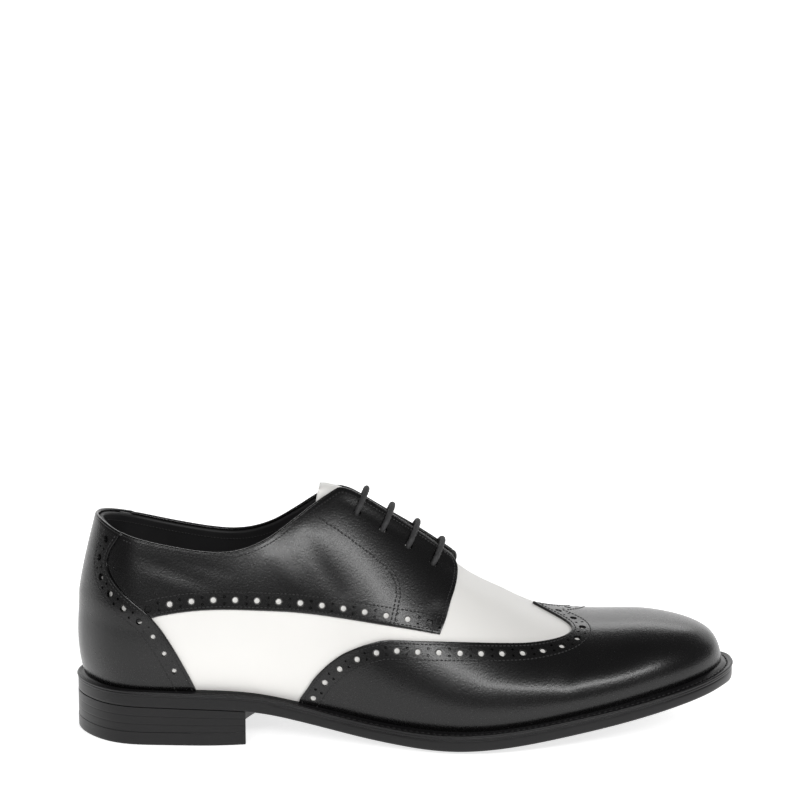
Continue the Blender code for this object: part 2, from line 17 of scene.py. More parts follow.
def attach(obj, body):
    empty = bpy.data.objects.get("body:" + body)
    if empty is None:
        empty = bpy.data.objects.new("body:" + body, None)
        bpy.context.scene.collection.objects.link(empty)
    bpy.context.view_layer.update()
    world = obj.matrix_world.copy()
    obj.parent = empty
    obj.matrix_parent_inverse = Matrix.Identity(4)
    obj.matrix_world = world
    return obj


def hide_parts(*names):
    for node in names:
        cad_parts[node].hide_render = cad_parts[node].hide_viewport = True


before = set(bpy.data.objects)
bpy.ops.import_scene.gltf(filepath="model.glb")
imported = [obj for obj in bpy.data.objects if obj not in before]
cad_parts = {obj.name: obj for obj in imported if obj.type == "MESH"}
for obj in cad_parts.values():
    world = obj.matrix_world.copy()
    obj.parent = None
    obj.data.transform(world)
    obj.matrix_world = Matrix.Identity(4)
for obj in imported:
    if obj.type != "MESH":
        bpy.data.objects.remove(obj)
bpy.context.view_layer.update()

MM = 0.001

# Half sections of the last: six control points, as shares of half width and of height.
SECTION_SHAPES = {
    "toe_box": ((1.00, 0.00), (1.10, 0.13), (1.13, 0.58), (0.86, 0.93), (0.45, 1.00), (0.0, 1.0)),
    "instep": ((1.00, 0.00), (1.12, 0.14), (1.09, 0.42), (0.60, 0.80), (0.30, 1.00), (0.0, 1.0)),
    "heel_wall": ((1.00, 0.00), (1.12, 0.15), (1.18, 0.40), (0.99, 0.66), (0.89, 0.84), (0.80, 1.0)),
}

# One row per section, from the back of the heel to the toe tip. turn is the section's angle to the shoe's
# cross plane, in degrees. outer and inner are half widths at the seat. instep and heel_wall are the shares
# of those two shapes, and toe_box has the rest.
COLUMNS = ("x", "y", "turn", "outer", "inner", "seat_z", "top_z", "instep", "heel_wall")
LAST = (
    (-112.0, 0.0, 90, 35.2, 35.2, 23.0, 103.0, 0.00, 1.00),
    (-112.0, 0.0, 62, 33.3, 33.3, 23.0, 101.0, 0.00, 1.00),
    (-112.0, 0.0, 36, 32.0, 32.0, 23.0, 97.5, 0.00, 1.00),
    (-110.0, 0.0, 14, 30.6, 30.6, 22.8, 94.0, 0.00, 1.00),
    (-101.0, 0.0, 3, 30.2, 30.0, 22.4, 92.0, 0.00, 1.00),
    (-86.0, 0.2, 0, 29.8, 29.0, 21.8, 91.0, 0.00, 0.98),
    (-68.0, 0.6, 0, 28.4, 26.2, 19.8, 94.6, 0.10, 0.82),
    (-50.0, 1.0, 0, 27.2, 23.2, 15.7, 104.5, 0.40, 0.45),
    (-32.0, 1.6, 0, 29.6, 22.4, 11.9, 113.0, 0.78, 0.12),
    (-14.0, 2.2, 0, 35.2, 24.7, 9.1, 105.0, 0.95, 0.00),
    (4.0, 2.8, 0, 40.8, 30.2, 7.4, 92.9, 1.00, 0.00),
    (22.0, 3.5, 0, 45.6, 35.6, 7.0, 79.2, 0.92, 0.00),
    (40.0, 4.2, 0, 47.9, 39.0, 8.4, 66.0, 0.75, 0.00),
    (58.0, 4.9, 0, 47.6, 40.0, 11.0, 56.0, 0.50, 0.00),
    (76.0, 5.6, 0, 45.5, 39.0, 14.1, 50.8, 0.25, 0.00),
    (94.0, 6.2, 0, 41.6, 36.2, 17.2, 49.5, 0.10, 0.00),
    (111.0, 6.8, 0, 35.7, 31.6, 20.1, 49.4, 0.00, 0.00),
    (126.0, 7.2, 0, 27.8, 24.9, 22.6, 47.4, 0.00, 0.00),
    (137.0, 7.5, 0, 19.0, 17.8, 24.3, 43.8, 0.00, 0.00),
    (144.0, 7.7, 0, 9.6, 9.3, 25.3, 37.6, 0.00, 0.00),
    (146.5, 7.8, 0, 0.0, 0.0, 25.6, 25.6, 0.00, 0.00),
)
LAST_STEPS = len(LAST) - 1
MIRRORED_ROWS = 3           # rows added beyond each toe tip, so that the splines close smoothly there
TIP_V = 0.9985              # nearer the toe's tip than this, the surface faces straight ahead

# Edges of the panels. The first two are (x, z) seen from the side, and the counter's is (z, x).
TOPLINE = ((-140, 99.6), (-126, 94.2), (-108, 89.8), (-87, 86.6), (-74, 87.4), (-62, 91.8),
           (-50, 99.6), (-40, 106.6), (-31, 111.4), (-24, 112.5))
QUARTER_FOOT = ((-125, 55.0), (-110, 59.8), (-88, 62.2), (-60, 60.6), (-30, 57.4), (0, 53.6), (20, 50.4))
COUNTER_EDGE = ((22, -93.4), (35, -99.2), (50, -107.6), (60, -115.6), (70, -127.4), (78, -133.4),
                (85, -133.6), (95, -128.0), (101, -126.0))
# These two are (t, x of the section), so that a cap or a facing ends where its section says.
WING_EDGE = ((0.0, -49.0), (0.063, -48.0), (0.119, -45.0), (0.176, -41.4), (0.226, -36.3), (0.277, -29.2),
             (0.314, -22.5), (0.352, -15.3), (0.384, -8.5), (0.428, 6.5), (0.491, 25.7), (0.56, 45.4),
             (0.597, 55.1), (0.648, 65.3), (0.692, 71.5), (0.73, 74.6), (0.765, 75.9), (0.80, 75.8),
             (0.84, 74.4), (0.881, 71.6), (0.931, 67.0), (0.97, 62.6), (1.0, 59.0))
FACING_FRONT = ((0.40, 13.0), (0.484, 15.4), (0.553, 18.0), (0.642, 20.3), (0.704, 21.9), (0.77, 23.0),
                (0.83, 23.3), (0.87, 22.4), (0.90, 20.4), (0.92, 17.5))
COLLAR_END_X = -36.0        # forward of this, the topline gives way to the facings' edge
FACING_CORNER_X = -25.5
FACING_FRONT_X = 23.0
FACING_GAP = (5.6, 6.8)     # half the gap between the facings, at the top and at the front
FACING_RISE = 1.3           # the facings stand up this far along the gap
THROAT_HALF = 12.5
THROAT_FRONT_X = 18.0
TONGUE_TOP_X = -38.5
TONGUE_FRONT_X = 33.0
TONGUE_HALF = 21.0
TONGUE_THICK = 2.0
TONGUE_GAP = 0.35           # the tongue lies this far inside the lining
TONGUE_RISE = 4.5           # its free end stands up by this much
TONGUE_FREE_X = -24.0
EYELETS = ((-22.4, 11.2), (-10.6, 12.4), (1.0, 13.8), (12.4, 15.4))    # (x, distance from the gap's middle)
EYELET_RADIUS = 1.9
LACE_THICK = 2.5
VAMP_STEP = 2.2             # the vamp lies this much lower where it comes out from under the facings
VAMP_STEP_END_X = 48.0
VAMP_STEP_LENGTH = 20.0
LACE_BOW = 3.0              # a bar's middle lies this much further forward than its eyelets
LACE_CLEAR = 0.35           # a bar passes this far above the leather
LACE_DIP = 3.8              # and goes down this deep into its eyelets
LACE_HIDDEN = 0.6           # each end runs on this far past the middle of its eyelet

# The sole: reach beyond the seat line, by distance along the shoe: (x, outer side, inner side).
SOLE_REACH = ((-147, 5.0, 5.0), (-112, 4.5, 4.5), (-86, 5.5, 5.2), (-62, 4.8, 3.2), (-48, 5.3, 2.6),
              (-30, 6.1, 2.8), (-8, 6.4, 4.2), (12, 7.3, 5.4), (40, 7.1, 5.9), (66, 7.0, 6.1),
              (96, 7.3, 6.3), (126, 7.2, 6.6), (146.5, 6.2, 6.2))
OUTSOLE_THICK = 5.3
SOLE_CAMBER = 2.3
WELT_INSET = 1.2            # the welt's inner edge is this far outside the seat line
TOP_PIECE_THICK = 6.0
HEEL_BREAST = (-72.5, -76.0, -60.0)      # x of the breast at its outer edge, middle and inner edge
HEEL_FLARE = 0.2

# Leather, in millimetres.
LINING_WALL = 1.8
PANEL_LIFT = 1.25           # outer face of a panel above the shell
PANEL_THICK = 1.3
COUNTER_LIFT = 2.0          # where the counter lies over the quarters
SKIVED = 0.55               # the quarters are this much thinner under the counter
EDGE_ROUND = 0.42

# Broguing and stitching, in millimetres from the panel's edge.
EDGE_ROW = 1.5
HOLE_ROW = 4.9
BAND_ROW = 8.5
HOLE_PITCH = 9.15           # round the counter
WING_HOLE_PITCH = 9.5
FOOT_HOLE_PITCH = 9.85
HOLE_RADIUS = 1.65
PIN_RADIUS = 0.65
PIN_DEPTH = 0.95
THROUGH = 2.5               # deep enough to pass through any panel
HOLE_TAPER = 0.36           # a hole narrows by this much of its depth
PIN_SPREAD = 1.55           # each small hole of a pair is this far from the row of large ones
STITCH_PITCH = 1.85
TOP_PITCH = 1.55            # finer stitches along the topline
APRON_PITCH = 2.0
CORNER_ROW_X = 12.0         # the band's row is doubled from here to the facing's front corner
WELT_CHANNEL = 0.455        # where the welt's stitches lie, as a share of its width
WELT_STITCH_RISE = 1.75     # and how high above the seat
WELT_THREAD = 0.42
RIM_HALF = 0.85             # half the thickness of the collar's rolled rim
THREAD = 0.33               # half a thread's thickness
APRON_THREAD = THREAD * 1.2
WELT_PITCH = 2.7
SHARP_ANGLE = 38.0          # degrees between faces, past which an edge shows as an edge
RIM_ANGLE = 55.0            # and past which a cut piece's rim is rounded
DOWNWARD = -0.8             # a face whose normal's z is below this is part of the tread
LAST_MIDDLE = Vector((0.0, 0.0, 0.045))     # a place inside the shoe, in metres

# The studio, in metres. A softbox is its place, what it is aimed at, its two sizes and its power in watts.
SWEEP_START = 1.0
SWEEP_RADIUS = 0.6
# The floor's emission is painted light: it brightens the floor and lifts its shadows in place of studio light
# on it.
FLOOR_PAINTED_LIGHT = 0.74
FLOOR_PAINTED_FADE = (1.6, 1.25)    # the floor's painted light falls towards the camera as painted shade: by how much a metre, and its share at y = 0, where shares past 1 count as 1
                            # share at y = 0, where shares past 1 count as 1
FLOOR_PAINTED_SHADE = 0.4             # the least share of the glow: the floor's painted shade nearest the camera
ROOM_LIGHT = 0.13
SOFTBOXES = {
    "front_strip_light": ((0.40, -1.45, 0.96), (0.0, 0.0, 0.05), (2.8, 0.20), 24.5),
    "back_softbox": ((0.20, 1.40, 1.15), (0.0, 0.0, 0.05), (1.6, 0.4), 4.5),
}


def natural_spline(values):
    """Second derivatives of a natural cubic spline through evenly spaced values."""
    n = len(values)
    upper, second = [0.0] * n, [0.0] * n
    for i in range(1, n - 1):
        pivot = 4.0 - upper[i - 1]
        upper[i] = 1.0 / pivot
        second[i] = (6.0 * (values[i - 1] - 2.0 * values[i] + values[i + 1]) - second[i - 1]) / pivot
    for i in range(n - 2, 0, -1):
        second[i] -= upper[i] * second[i + 1]
    return second


def round_the_shoe(column):
    """A table column run from the outer toe tip back round the heel to the inner toe tip, with three rows
    mirrored beyond each tip so that the surface closes smoothly there."""
    value = {name: [row[k] for row in LAST] for k, name in enumerate(COLUMNS)}
    if column == "width":
        outer, inner = value["outer"][::-1], value["inner"][1:]
        return [-w for w in inner[-4:-1]] + outer + inner + [-w for w in outer[1:4][::-1]]
    if column == "height":
        one = [top - seat for top, seat in zip(value["top_z"], value["seat_z"])]
        both = one[::-1] + one[1:]
        return [-h for h in both[3:0:-1]] + both + [-h for h in both[-2:-5:-1]]
    one = value[column]
    both = one[::-1] + ([180.0 - a for a in one[1:]] if column == "turn" else one[1:])
    return both[3:0:-1] + both + both[-2:-5:-1]


SPLINES = {}
for spline_name in ("x", "y", "turn", "width", "seat_z", "height", "instep", "heel_wall"):
    row_values = round_the_shoe(spline_name)
    SPLINES[spline_name] = (row_values, natural_spline(row_values))


@lru_cache(maxsize=None)
def at_section(name, v):
    """A last measure at v."""
    values, second = SPLINES[name]
    u = (v + 1.0) * LAST_STEPS + MIRRORED_ROWS
    i = min(int(u), len(values) - 2)
    f = u - i
    g = 1.0 - f
    return g * values[i] + f * values[i + 1] + ((g**3 - g) * second[i] + (f**3 - f) * second[i + 1]) / 6.0


def last_point(v, t):
    """The upper's outer surface, in millimetres."""
    if t > 1.0:
        v, t = -v, 2.0 - t
    instep, heel_wall = at_section("instep", v), max(0.0, at_section("heel_wall", v) - 0.01)
    bump = [comb(5, k) * t**k * (1 - t)**(5 - k) for k in range(6)]
    out = up = 0.0
    for share, shape in ((1 - instep - heel_wall, "toe_box"), (instep, "instep"), (heel_wall, "heel_wall")):
        for weight, (wide, high) in zip(bump, SECTION_SHAPES[shape]):
            out += share * weight * wide
            up += share * weight * high
    out *= at_section("width", v)
    angle = radians(at_section("turn", v))
    return Vector((at_section("x", v) - out * sin(angle), at_section("y", v) - out * cos(angle),
                   at_section("seat_z", v) + up * at_section("height", v)))


def last_normal(v, t):
    if t > 1.0:
        v, t = -v, 2.0 - t
    if abs(v) > TIP_V:
        return Vector((1.0, 0.0, 0.0))
    step = 0.0003
    low, high = max(t - step, 0.0), min(t + step, 1.0)
    along = last_point(v + step, t) - last_point(v - step, t)
    return (last_point(v, high) - last_point(v, low)).cross(along).normalized()


def smooth_through(points, x):
    """A curve through (x, value) points: cubic pieces whose slopes come from the neighbours."""
    if x <= points[0][0]:
        return points[0][1]
    if x >= points[-1][0]:
        return points[-1][1]
    i = max(k for k in range(len(points) - 1) if points[k][0] <= x)
    slopes = []
    for k in (i, i + 1):
        a, b = points[max(k - 1, 0)], points[min(k + 1, len(points) - 1)]
        slopes.append((b[1] - a[1]) / (b[0] - a[0]))
    (x0, y0), (x1, y1) = points[i], points[i + 1]
    h = x1 - x0
    f = (x - x0) / h
    return ((1 + 2 * f) * (1 - f)**2 * y0 + f * (1 - f)**2 * h * slopes[0]
            + f * f * (3 - 2 * f) * y1 + f * f * (f - 1) * h * slopes[1])


def solve(test, low, high):
    """The place between low and high where test changes sign."""
    rising = test(high) > 0
    for _ in range(26):
        middle = (low + high) / 2
        if (test(middle) > 0) == rising:
            high = middle
        else:
            low = middle
    return (low + high) / 2


@lru_cache(maxsize=None)
def v_at(x, side=1):
    """v of the section whose axis is at x, forward of the heel's fan."""
    return side * solve(lambda v: at_section("x", v) - x, 0.12, 1.0)


def t_at_height(v, height_of_x):
    """t on section v where the surface meets a side-view line, given as height by x."""
    def above(t):
        point = last_point(v, t)
        return point.z - height_of_x(point.x)
    return 1.0 if above(1.0) < 0 else solve(above, 0.0, 1.0)


def t_at_reach(v, half):
    """t on section v, high on the instep, where the surface is half away from the section's axis."""
    def nearer(t):
        point = last_point(v, t)
        return half - hypot(point.x - at_section("x", v), point.y - at_section("y", v))
    return 1.0 if nearer(1.0) < 0 else solve(nearer, 0.35, 1.0)


def tabled(function, low, high, steps):
    """The same function read from evenly spaced values, for edges that are asked for many times."""
    values = [function(low + (high - low) * k / steps) for k in range(steps + 1)]

    def read(x):
        place = min(max((x - low) / (high - low) * steps, 0.0), steps - 1e-6)
        i = int(place)
        return values[i] + (values[i + 1] - values[i]) * (place - i)
    return read


def ladder(low, high, steps):
    return [low + (high - low) * k / steps for k in range(steps + 1)]


def ease(x):
    """0 below 0, 1 above 1, and smooth between."""
    x = min(1.0, max(0.0, x))
    return x * x * (3 - 2 * x)


def facing_edge(v):
    share = (at_section("x", v) - FACING_CORNER_X) / (FACING_FRONT_X - FACING_CORNER_X)
    return t_at_reach(v, FACING_GAP[0] + share * (FACING_GAP[1] - FACING_GAP[0]))


def topline(v):
    return t_at_height(v, lambda x: smooth_through(TOPLINE, x))


def quarter_top_line(v):
    return min(topline(v), facing_edge(v)) if abs(v) > v_at(COLLAR_END_X) else topline(v)


def counter_reach(t):
    """How far the heel counter reaches round from the back seam, as v."""
    def past_edge(v):
        point = last_point(v, t)
        return point.x - smooth_through(COUNTER_EDGE, point.z)
    return solve(past_edge, 0.01, 0.30)


quarter_top = tabled(quarter_top_line, -0.6, 0.6, 480)
quarter_foot = tabled(lambda v: t_at_height(v, lambda x: smooth_through(QUARTER_FOOT, x)), -0.6, 0.6, 240)
counter_half = tabled(counter_reach, 0.0, 1.0, 80)
wing_edge = tabled(lambda t: v_at(smooth_through(WING_EDGE, t)), 0.0, 1.0, 160)
facing_front = tabled(lambda t: v_at(smooth_through(FACING_FRONT, t)), 0.3, 1.0, 80)


class Flow:
    """A number that runs through a material. Arithmetic on it adds Math nodes."""

    def __init__(self, finish, socket):
        self.finish, self.socket = finish, socket

    def math(self, operation, first, second=0.0):
        made = self.finish.node("ShaderNodeMath", {"operation": operation}, {0: first, 1: second})
        return Flow(self.finish, made.outputs[0])

    def __add__(self, other):
        return self.math("ADD", self, other)

    def __mul__(self, other):
        return self.math("MULTIPLY", self, other)

    def __sub__(self, other):
        return self.math("SUBTRACT", self, other)

    def __rsub__(self, other):
        return self.math("SUBTRACT", other, self)

    def __pow__(self, other):
        return self.math("POWER", self, other)

    __radd__, __rmul__ = __add__, __mul__

    def clamp(self, low, high):
        return self.math("MINIMUM", self.math("MAXIMUM", self, low), high)

    def wave(self):
        return self.math("SINE", self)


class Finish:
    """One procedural material, built round its Principled shader."""

    def __init__(self, name, colour, roughness, **fixed):
        self.material = bpy.data.materials.new(name)
        self.material.use_nodes = True
        self.tree = self.material.node_tree
        self.shader = self.tree.nodes["Principled BSDF"]
        self.shader.inputs["Base Color"].default_value = (*colour, 1.0)
        self.shader.inputs["Roughness"].default_value = roughness
        for socket, value in fixed.items():
            self.shader.inputs[socket.replace("_", " ").title().replace("Ior", "IOR")].default_value = value

    def node(self, kind, settings=None, sockets=None):
        """Adds a node: its settings first, then the values or links of its sockets."""
        made = self.tree.nodes.new(kind)
        for name, value in (settings or {}).items():
            if name == "stops":
                while len(made.color_ramp.elements) < len(value):
                    made.color_ramp.elements.new(0.5)
                for element, (place, colour) in zip(made.color_ramp.elements, value):
                    element.position = place
                    element.color = (*colour, 1.0)
            else:
                setattr(made, name, value)
        for name, value in (sockets or {}).items():
            self.feed(made.inputs[name], value)
        return made

    def feed(self, socket, value):
        if isinstance(value, Flow):
            self.tree.links.new(value.socket, socket)
        elif isinstance(value, bpy.types.NodeSocket):
            self.tree.links.new(value, socket)
        else:
            socket.default_value = value

    def place(self, scale=(1, 1, 1), turn=(0, 0, 0), kind="Object"):
        """Coordinates on the piece, scaled and turned."""
        source = self.node("ShaderNodeTexCoord").outputs[kind]
        mapping = self.node("ShaderNodeMapping", None, {"Vector": source, "Scale": scale, "Rotation": turn})
        return mapping.outputs["Vector"]

    def noise(self, where, scale, detail=2.0, rough=0.5):
        made = self.node("ShaderNodeTexNoise", None,
                         {"Vector": where, "Scale": scale, "Detail": detail, "Roughness": rough})
        return Flow(self, made.outputs[0])

    def cells(self, where, scale, feature="F1"):
        made = self.node("ShaderNodeTexVoronoi", {"feature": feature}, {"Vector": where, "Scale": scale})
        return Flow(self, made.outputs["Distance"])

    def split(self, where):
        made = self.node("ShaderNodeSeparateXYZ", None, {0: where})
        return [Flow(self, made.outputs[k]) for k in range(3)]

    def mix(self, share, first, second):
        """A colour between two, by share."""
        made = self.node("ShaderNodeMix", {"data_type": "RGBA"},
                         {0: share, 6: (*first, 1.0) if isinstance(first, tuple) else first,
                          7: (*second, 1.0) if isinstance(second, tuple) else second})
        return made.outputs[2]

    def dress(self, colour=None, roughness=None, coat=None, bumps=()):
        """Feeds the shader. bumps are (height, strength, depth in metres), the coarsest first."""
        for name, value in (("Base Color", colour), ("Roughness", roughness), ("Coat Weight", coat)):
            if value is not None:
                self.feed(self.shader.inputs[name], value)
        normal = None
        for height, strength, depth in bumps:
            sockets = {"Height": height, "Strength": strength, "Distance": depth}
            if normal is not None:
                sockets["Normal"] = normal
            normal = self.node("ShaderNodeBump", None, sockets).outputs[0]
        if normal is not None:
            self.feed(self.shader.inputs["Normal"], normal)
        return self.material


def polished_leather():
    """Black box calf: smooth, with a wide soft gloss that breaks up into fine pores."""
    finish = Finish("polished_black_leather", (0.0030, 0.0029, 0.0030), 0.3, coat_roughness=0.17,
                    specular_ior_level=0.42)
    where = finish.place()
    pores = finish.cells(where, 1500.0)
    grain = finish.noise(where, 1000.0, 1.5, 0.5)
    cloud = finish.noise(where, 28.0, 3.0)
    drape = finish.noise(where, 45.0, 2.0)
    return finish.dress(
        colour=finish.mix(cloud, (0.0020, 0.0019, 0.0021), (0.0038, 0.0036, 0.0038)),
        roughness=0.21 + cloud * 0.06 + grain * 0.06, coat=0.08 + cloud * 0.10,
        bumps=((drape, 0.30, 0.0005), (grain, 0.50, 0.00010), (pores, 0.35, 0.00006)))


def white_leather():
    finish = Finish("white_leather", (0.87, 0.855, 0.82), 0.42, coat_roughness=0.4)
    where = finish.place()
    pores = finish.cells(where, 1300.0)
    grain = finish.noise(where, 800.0, 4.0, 0.6)
    cloud = finish.noise(where, 22.0, 3.0)
    return finish.dress(
        colour=finish.mix(cloud, (0.86, 0.845, 0.815), (0.895, 0.885, 0.86)),
        roughness=0.40 + cloud * 0.12, coat=0.08 + cloud * 0.05,
        bumps=((cloud, 0.3, 0.0004), (grain, 0.18, 0.00012), (pores, 0.10, 0.00008)))


def edge_dressing():
    """The sole's edges: black wax burnished along the edge, so its marks run lengthwise."""
    finish = Finish("sole_edge_dressing", (0.005, 0.005, 0.0055), 0.34, coat_roughness=0.3,
                    specular_ior_level=0.30)
    streaks = finish.noise(finish.place((60.0, 60.0, 1400.0)), 1.0, 4.0, 0.6)
    specks = finish.noise(finish.place(), 1500.0, 2.0)
    wear = finish.noise(finish.place(), 35.0, 3.0)
    return finish.dress(
        colour=finish.mix(wear, (0.0035, 0.0035, 0.004), (0.008, 0.0075, 0.008)),
        roughness=0.27 + streaks * 0.12 + wear * 0.06, coat=0.06 + wear * 0.06,
        bumps=((streaks, 0.25, 0.0002), (specks, 0.12, 0.0001)))


def matt(name, dark, light, roughness, spread, cloud, grain, bump, stretch=(1.0, 1.0, 1.0)):
    """A matt finish. Its colour runs from dark to light and its roughness up by spread, both with cloud.
    cloud and grain are the noises' scale, detail and, where given, roughness. bump is (strength, depth)."""
    finish = Finish(name, dark, roughness)
    fine = finish.noise(finish.place(stretch), *grain)
    share = finish.noise(finish.place(), *cloud)
    return finish.dress(colour=finish.mix(share, dark, light), roughness=roughness + share * spread,
                        bumps=((fine, *bump),))


def thread(name, dark, light):
    twist = (2600.0, 2.0)
    return matt(name, dark, light, 0.5, 0.2, twist, twist, (0.4, 0.0001))


def lace_cotton():
    """Waxed round lace. Its braid is in the mesh, and the yarns are lines along each strand."""
    finish = Finish("lace_cotton", (0.022, 0.022, 0.023), 0.7)
    along, around, _ = finish.split(finish.place(kind="UV"))
    yarns = ((along * 2.0 + around) * 190.0).wave() * ((along * 2.0 - around) * 190.0).wave()
    fuzz = finish.noise(finish.place(), 2200.0, 4.0, 0.7)
    return finish.dress(colour=finish.mix(fuzz, (0.008, 0.008, 0.009), (0.060, 0.059, 0.060)),
                        roughness=0.62 + fuzz * 0.2, bumps=((yarns, 0.3, 0.0001), (fuzz, 0.5, 0.0001)))


BLACK_LEATHER = polished_leather()
WHITE_LEATHER = white_leather()
LINING = matt("lining_leather", (0.008, 0.008, 0.009), (0.015, 0.0145, 0.015), 0.52, 0.15, (60.0, 3.0),
              (1100.0, 5.0, 0.7), (0.35, 0.0002))
EDGE = edge_dressing()
TREAD = matt("sole_tread_leather", (0.009, 0.009, 0.010), (0.020, 0.0195, 0.020), 0.42, 0.2, (40.0, 4.0),
             (500.0, 5.0, 0.65), (0.3, 0.0002), (1.0, 3.0, 1.0))
RUBBER = matt("heel_rubber", (0.009, 0.009, 0.009), (0.016, 0.016, 0.016), 0.55, 0.15, (50.0, 2.0),
              (1300.0, 3.0), (0.35, 0.0002))
BLACK_THREAD = thread("black_thread", (0.006, 0.006, 0.0065), (0.020, 0.0195, 0.020))
WHITE_THREAD = thread("white_thread", (0.42, 0.41, 0.39), (0.62, 0.61, 0.58))
LACE = lace_cotton()


def laid_grid(columns, rows, place):
    """A sheet: a flat grid whose corner (u, w), each from 0 to 1, goes to place(u, w) in millimetres."""
    bm = bmesh.new()
    bmesh.ops.create_grid(bm, x_segments=columns, y_segments=rows, size=0.5)
    for vert in bm.verts:
        vert.co = Vector(place(vert.co.x + 0.5, vert.co.y + 0.5)) * MM
    bmesh.ops.remove_doubles(bm, verts=bm.verts, dist=0.00002)
    bmesh.ops.dissolve_degenerate(bm, edges=bm.edges, dist=0.000001)
    bm.normal_update()
    return bm


def face_outward(bm, centre):
    """Turns an open sheet so that most of its faces look away from centre."""
    outward = sum((face.calc_center_median() - centre).dot(face.normal) * face.calc_area()
                  for face in bm.faces)
    if outward < 0:
        bmesh.ops.reverse_faces(bm, faces=bm.faces)
    bm.normal_update()


def mark_tread(bm):
    """Gives the faces that look down the second material."""
    for face in bm.faces:
        face.material_index = 1 if face.normal.z < DOWNWARD else 0


def as_object(name, bm, materials, sharp=SHARP_ANGLE):
    mesh = bpy.data.meshes.new(name)
    for face in bm.faces:
        face.smooth = True
    bm.to_mesh(mesh)
    bm.free()
    mesh.set_sharp_from_angle(angle=radians(sharp))
    for material in materials:
        mesh.materials.append(material)
    piece = bpy.data.objects.new(name, mesh)
    bpy.context.scene.collection.objects.link(piece)
    return piece


def closed_piece(name, bm, materials, sharp, slot, *nodes):
    """Finishes a closed mesh. With two materials, the second is for its tread."""
    bmesh.ops.recalc_face_normals(bm, faces=bm.faces)
    if len(materials) > 1:
        mark_tread(bm)
    settle(as_object(name, bm, materials, sharp), slot, *nodes)


def settle(piece, slot, *nodes):
    """Says what a finished piece rides on and hides the solids it stands for."""
    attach(piece, "root")
    if nodes:
        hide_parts(*nodes)


def thicken(bm, thick, round_edge):
    """Gives a sheet its thickness, inwards, and rounds the edges of its rim."""
    bmesh.ops.solidify(bm, geom=bm.faces[:], thickness=thick * MM)
    bm.normal_update()
    corners = [edge for edge in bm.edges
               if len(edge.link_faces) == 2 and edge.calc_face_angle() > radians(RIM_ANGLE)]
    if round_edge:
        bmesh.ops.bevel(bm, geom=corners, offset=round_edge * MM, segments=2, profile=0.5, affect="EDGES",
                        material=-1, clamp_overlap=True)


def tube(bm, path, radius_at, hint, sides):
    """A round tube, closed at both ends, along a path in millimetres. radius_at(k, turn) is its radius at the
    k-th point, and hint a direction along which it never runs."""
    rings = []
    for k, centre in enumerate(path):
        forward = (path[min(k + 1, len(path) - 1)] - path[max(k - 1, 0)]).normalized()
        side = forward.cross(hint).normalized()
        up = side.cross(forward)
        made = bmesh.ops.create_circle(bm, segments=sides, radius=1.0)["verts"]
        for a, vert in enumerate(made):
            turn = 2 * pi * a / sides
            vert.co = (centre + (side * cos(turn) + up * sin(turn)) * radius_at(k, turn)) * MM
        rings.append([bm.edges.get((made[a], made[(a + 1) % sides])) for a in range(sides)])
    for first, second in zip(rings, rings[1:]):
        bmesh.ops.bridge_loops(bm, edges=first + second)
    for ring in (rings[0], rings[-1]):
        bmesh.ops.contextual_create(bm, geom=ring)


def leather_panel(name, columns, rows, place, lift, node, holes):
    """A cut piece of black leather. place(u, w) is its (v, t), lift(v, t) the height of its outer face."""
    spots = {}

    def lay(u, w):
        v, t = place(u, w)
        point = last_point(v, t)
        spots[tuple(round(c, 4) for c in point * MM)] = lift(v, t)
        return point
    bm = laid_grid(columns, rows, lay)
    face_outward(bm, LAST_MIDDLE)
    rises = [(vert, vert.normal.copy(), spots.get(tuple(round(c, 4) for c in vert.co), PANEL_LIFT))
             for vert in bm.verts]
    for vert, normal, rise in rises:
        vert.co += normal * rise * MM
    bm.normal_update()
    thicken(bm, PANEL_THICK, EDGE_ROUND)
    piece = as_object(name, bm, [BLACK_LEATHER])
    punch(piece, holes)
    settle(piece, node, node)


def punch(piece, holes):
    """Punches round holes in a leather piece. Each is (middle, outward normal, radius, depth), in mm."""
    bm = bmesh.new()
    for middle, normal, radius, deep in holes:
        turn = normal.to_track_quat("Z", "Y").to_matrix().to_4x4()
        taper = HOLE_TAPER * deep
        bmesh.ops.create_cone(bm, cap_ends=True, segments=20 if radius > 1.0 else 10,
                              radius1=(radius - taper) * MM, radius2=(radius + taper) * MM,
                              depth=2 * deep * MM, matrix=Matrix.Translation(middle * MM) @ turn)
    mesh = bpy.data.meshes.new("punch")
    bm.to_mesh(mesh)
    bm.free()
    tool = bpy.data.objects.new("punch", mesh)
    bpy.context.scene.collection.objects.link(tool)
    cut = piece.modifiers.new("punch", "BOOLEAN")
    cut.operation = "DIFFERENCE"
    cut.solver = "EXACT"
    cut.object = tool
    bpy.context.view_layer.update()
    punched = bpy.data.meshes.new_from_object(piece.evaluated_get(bpy.context.evaluated_depsgraph_get()))
    piece.modifiers.clear()
    piece.data = punched
    punched.set_sharp_from_angle(angle=radians(SHARP_ANGLE))
    bpy.data.objects.remove(tool)


def walk(spot, heading, distance):
    """Moves a place on the last by a distance along a heading that is kept in the surface."""
    steps = max(1, round(abs(distance) / 2.0))
    v, t = spot
    d = 0.0005
    for _ in range(steps):
        here = last_point(v, t)
        along = (last_point(v + d, t) - here) / d
        up = (last_point(v, t - d) - here) / -d
        aa, uu, au = along.dot(along), up.dot(up), along.dot(up)
        ha, hu = heading.dot(along), heading.dot(up)
        size = aa * uu - au * au
        dv, dt = (ha * uu - hu * au) / size, (hu * aa - ha * au) / size
        reach = distance / steps / (along * dv + up * dt).length
        v, t = v + dv * reach, t + dt * reach
    return v, t


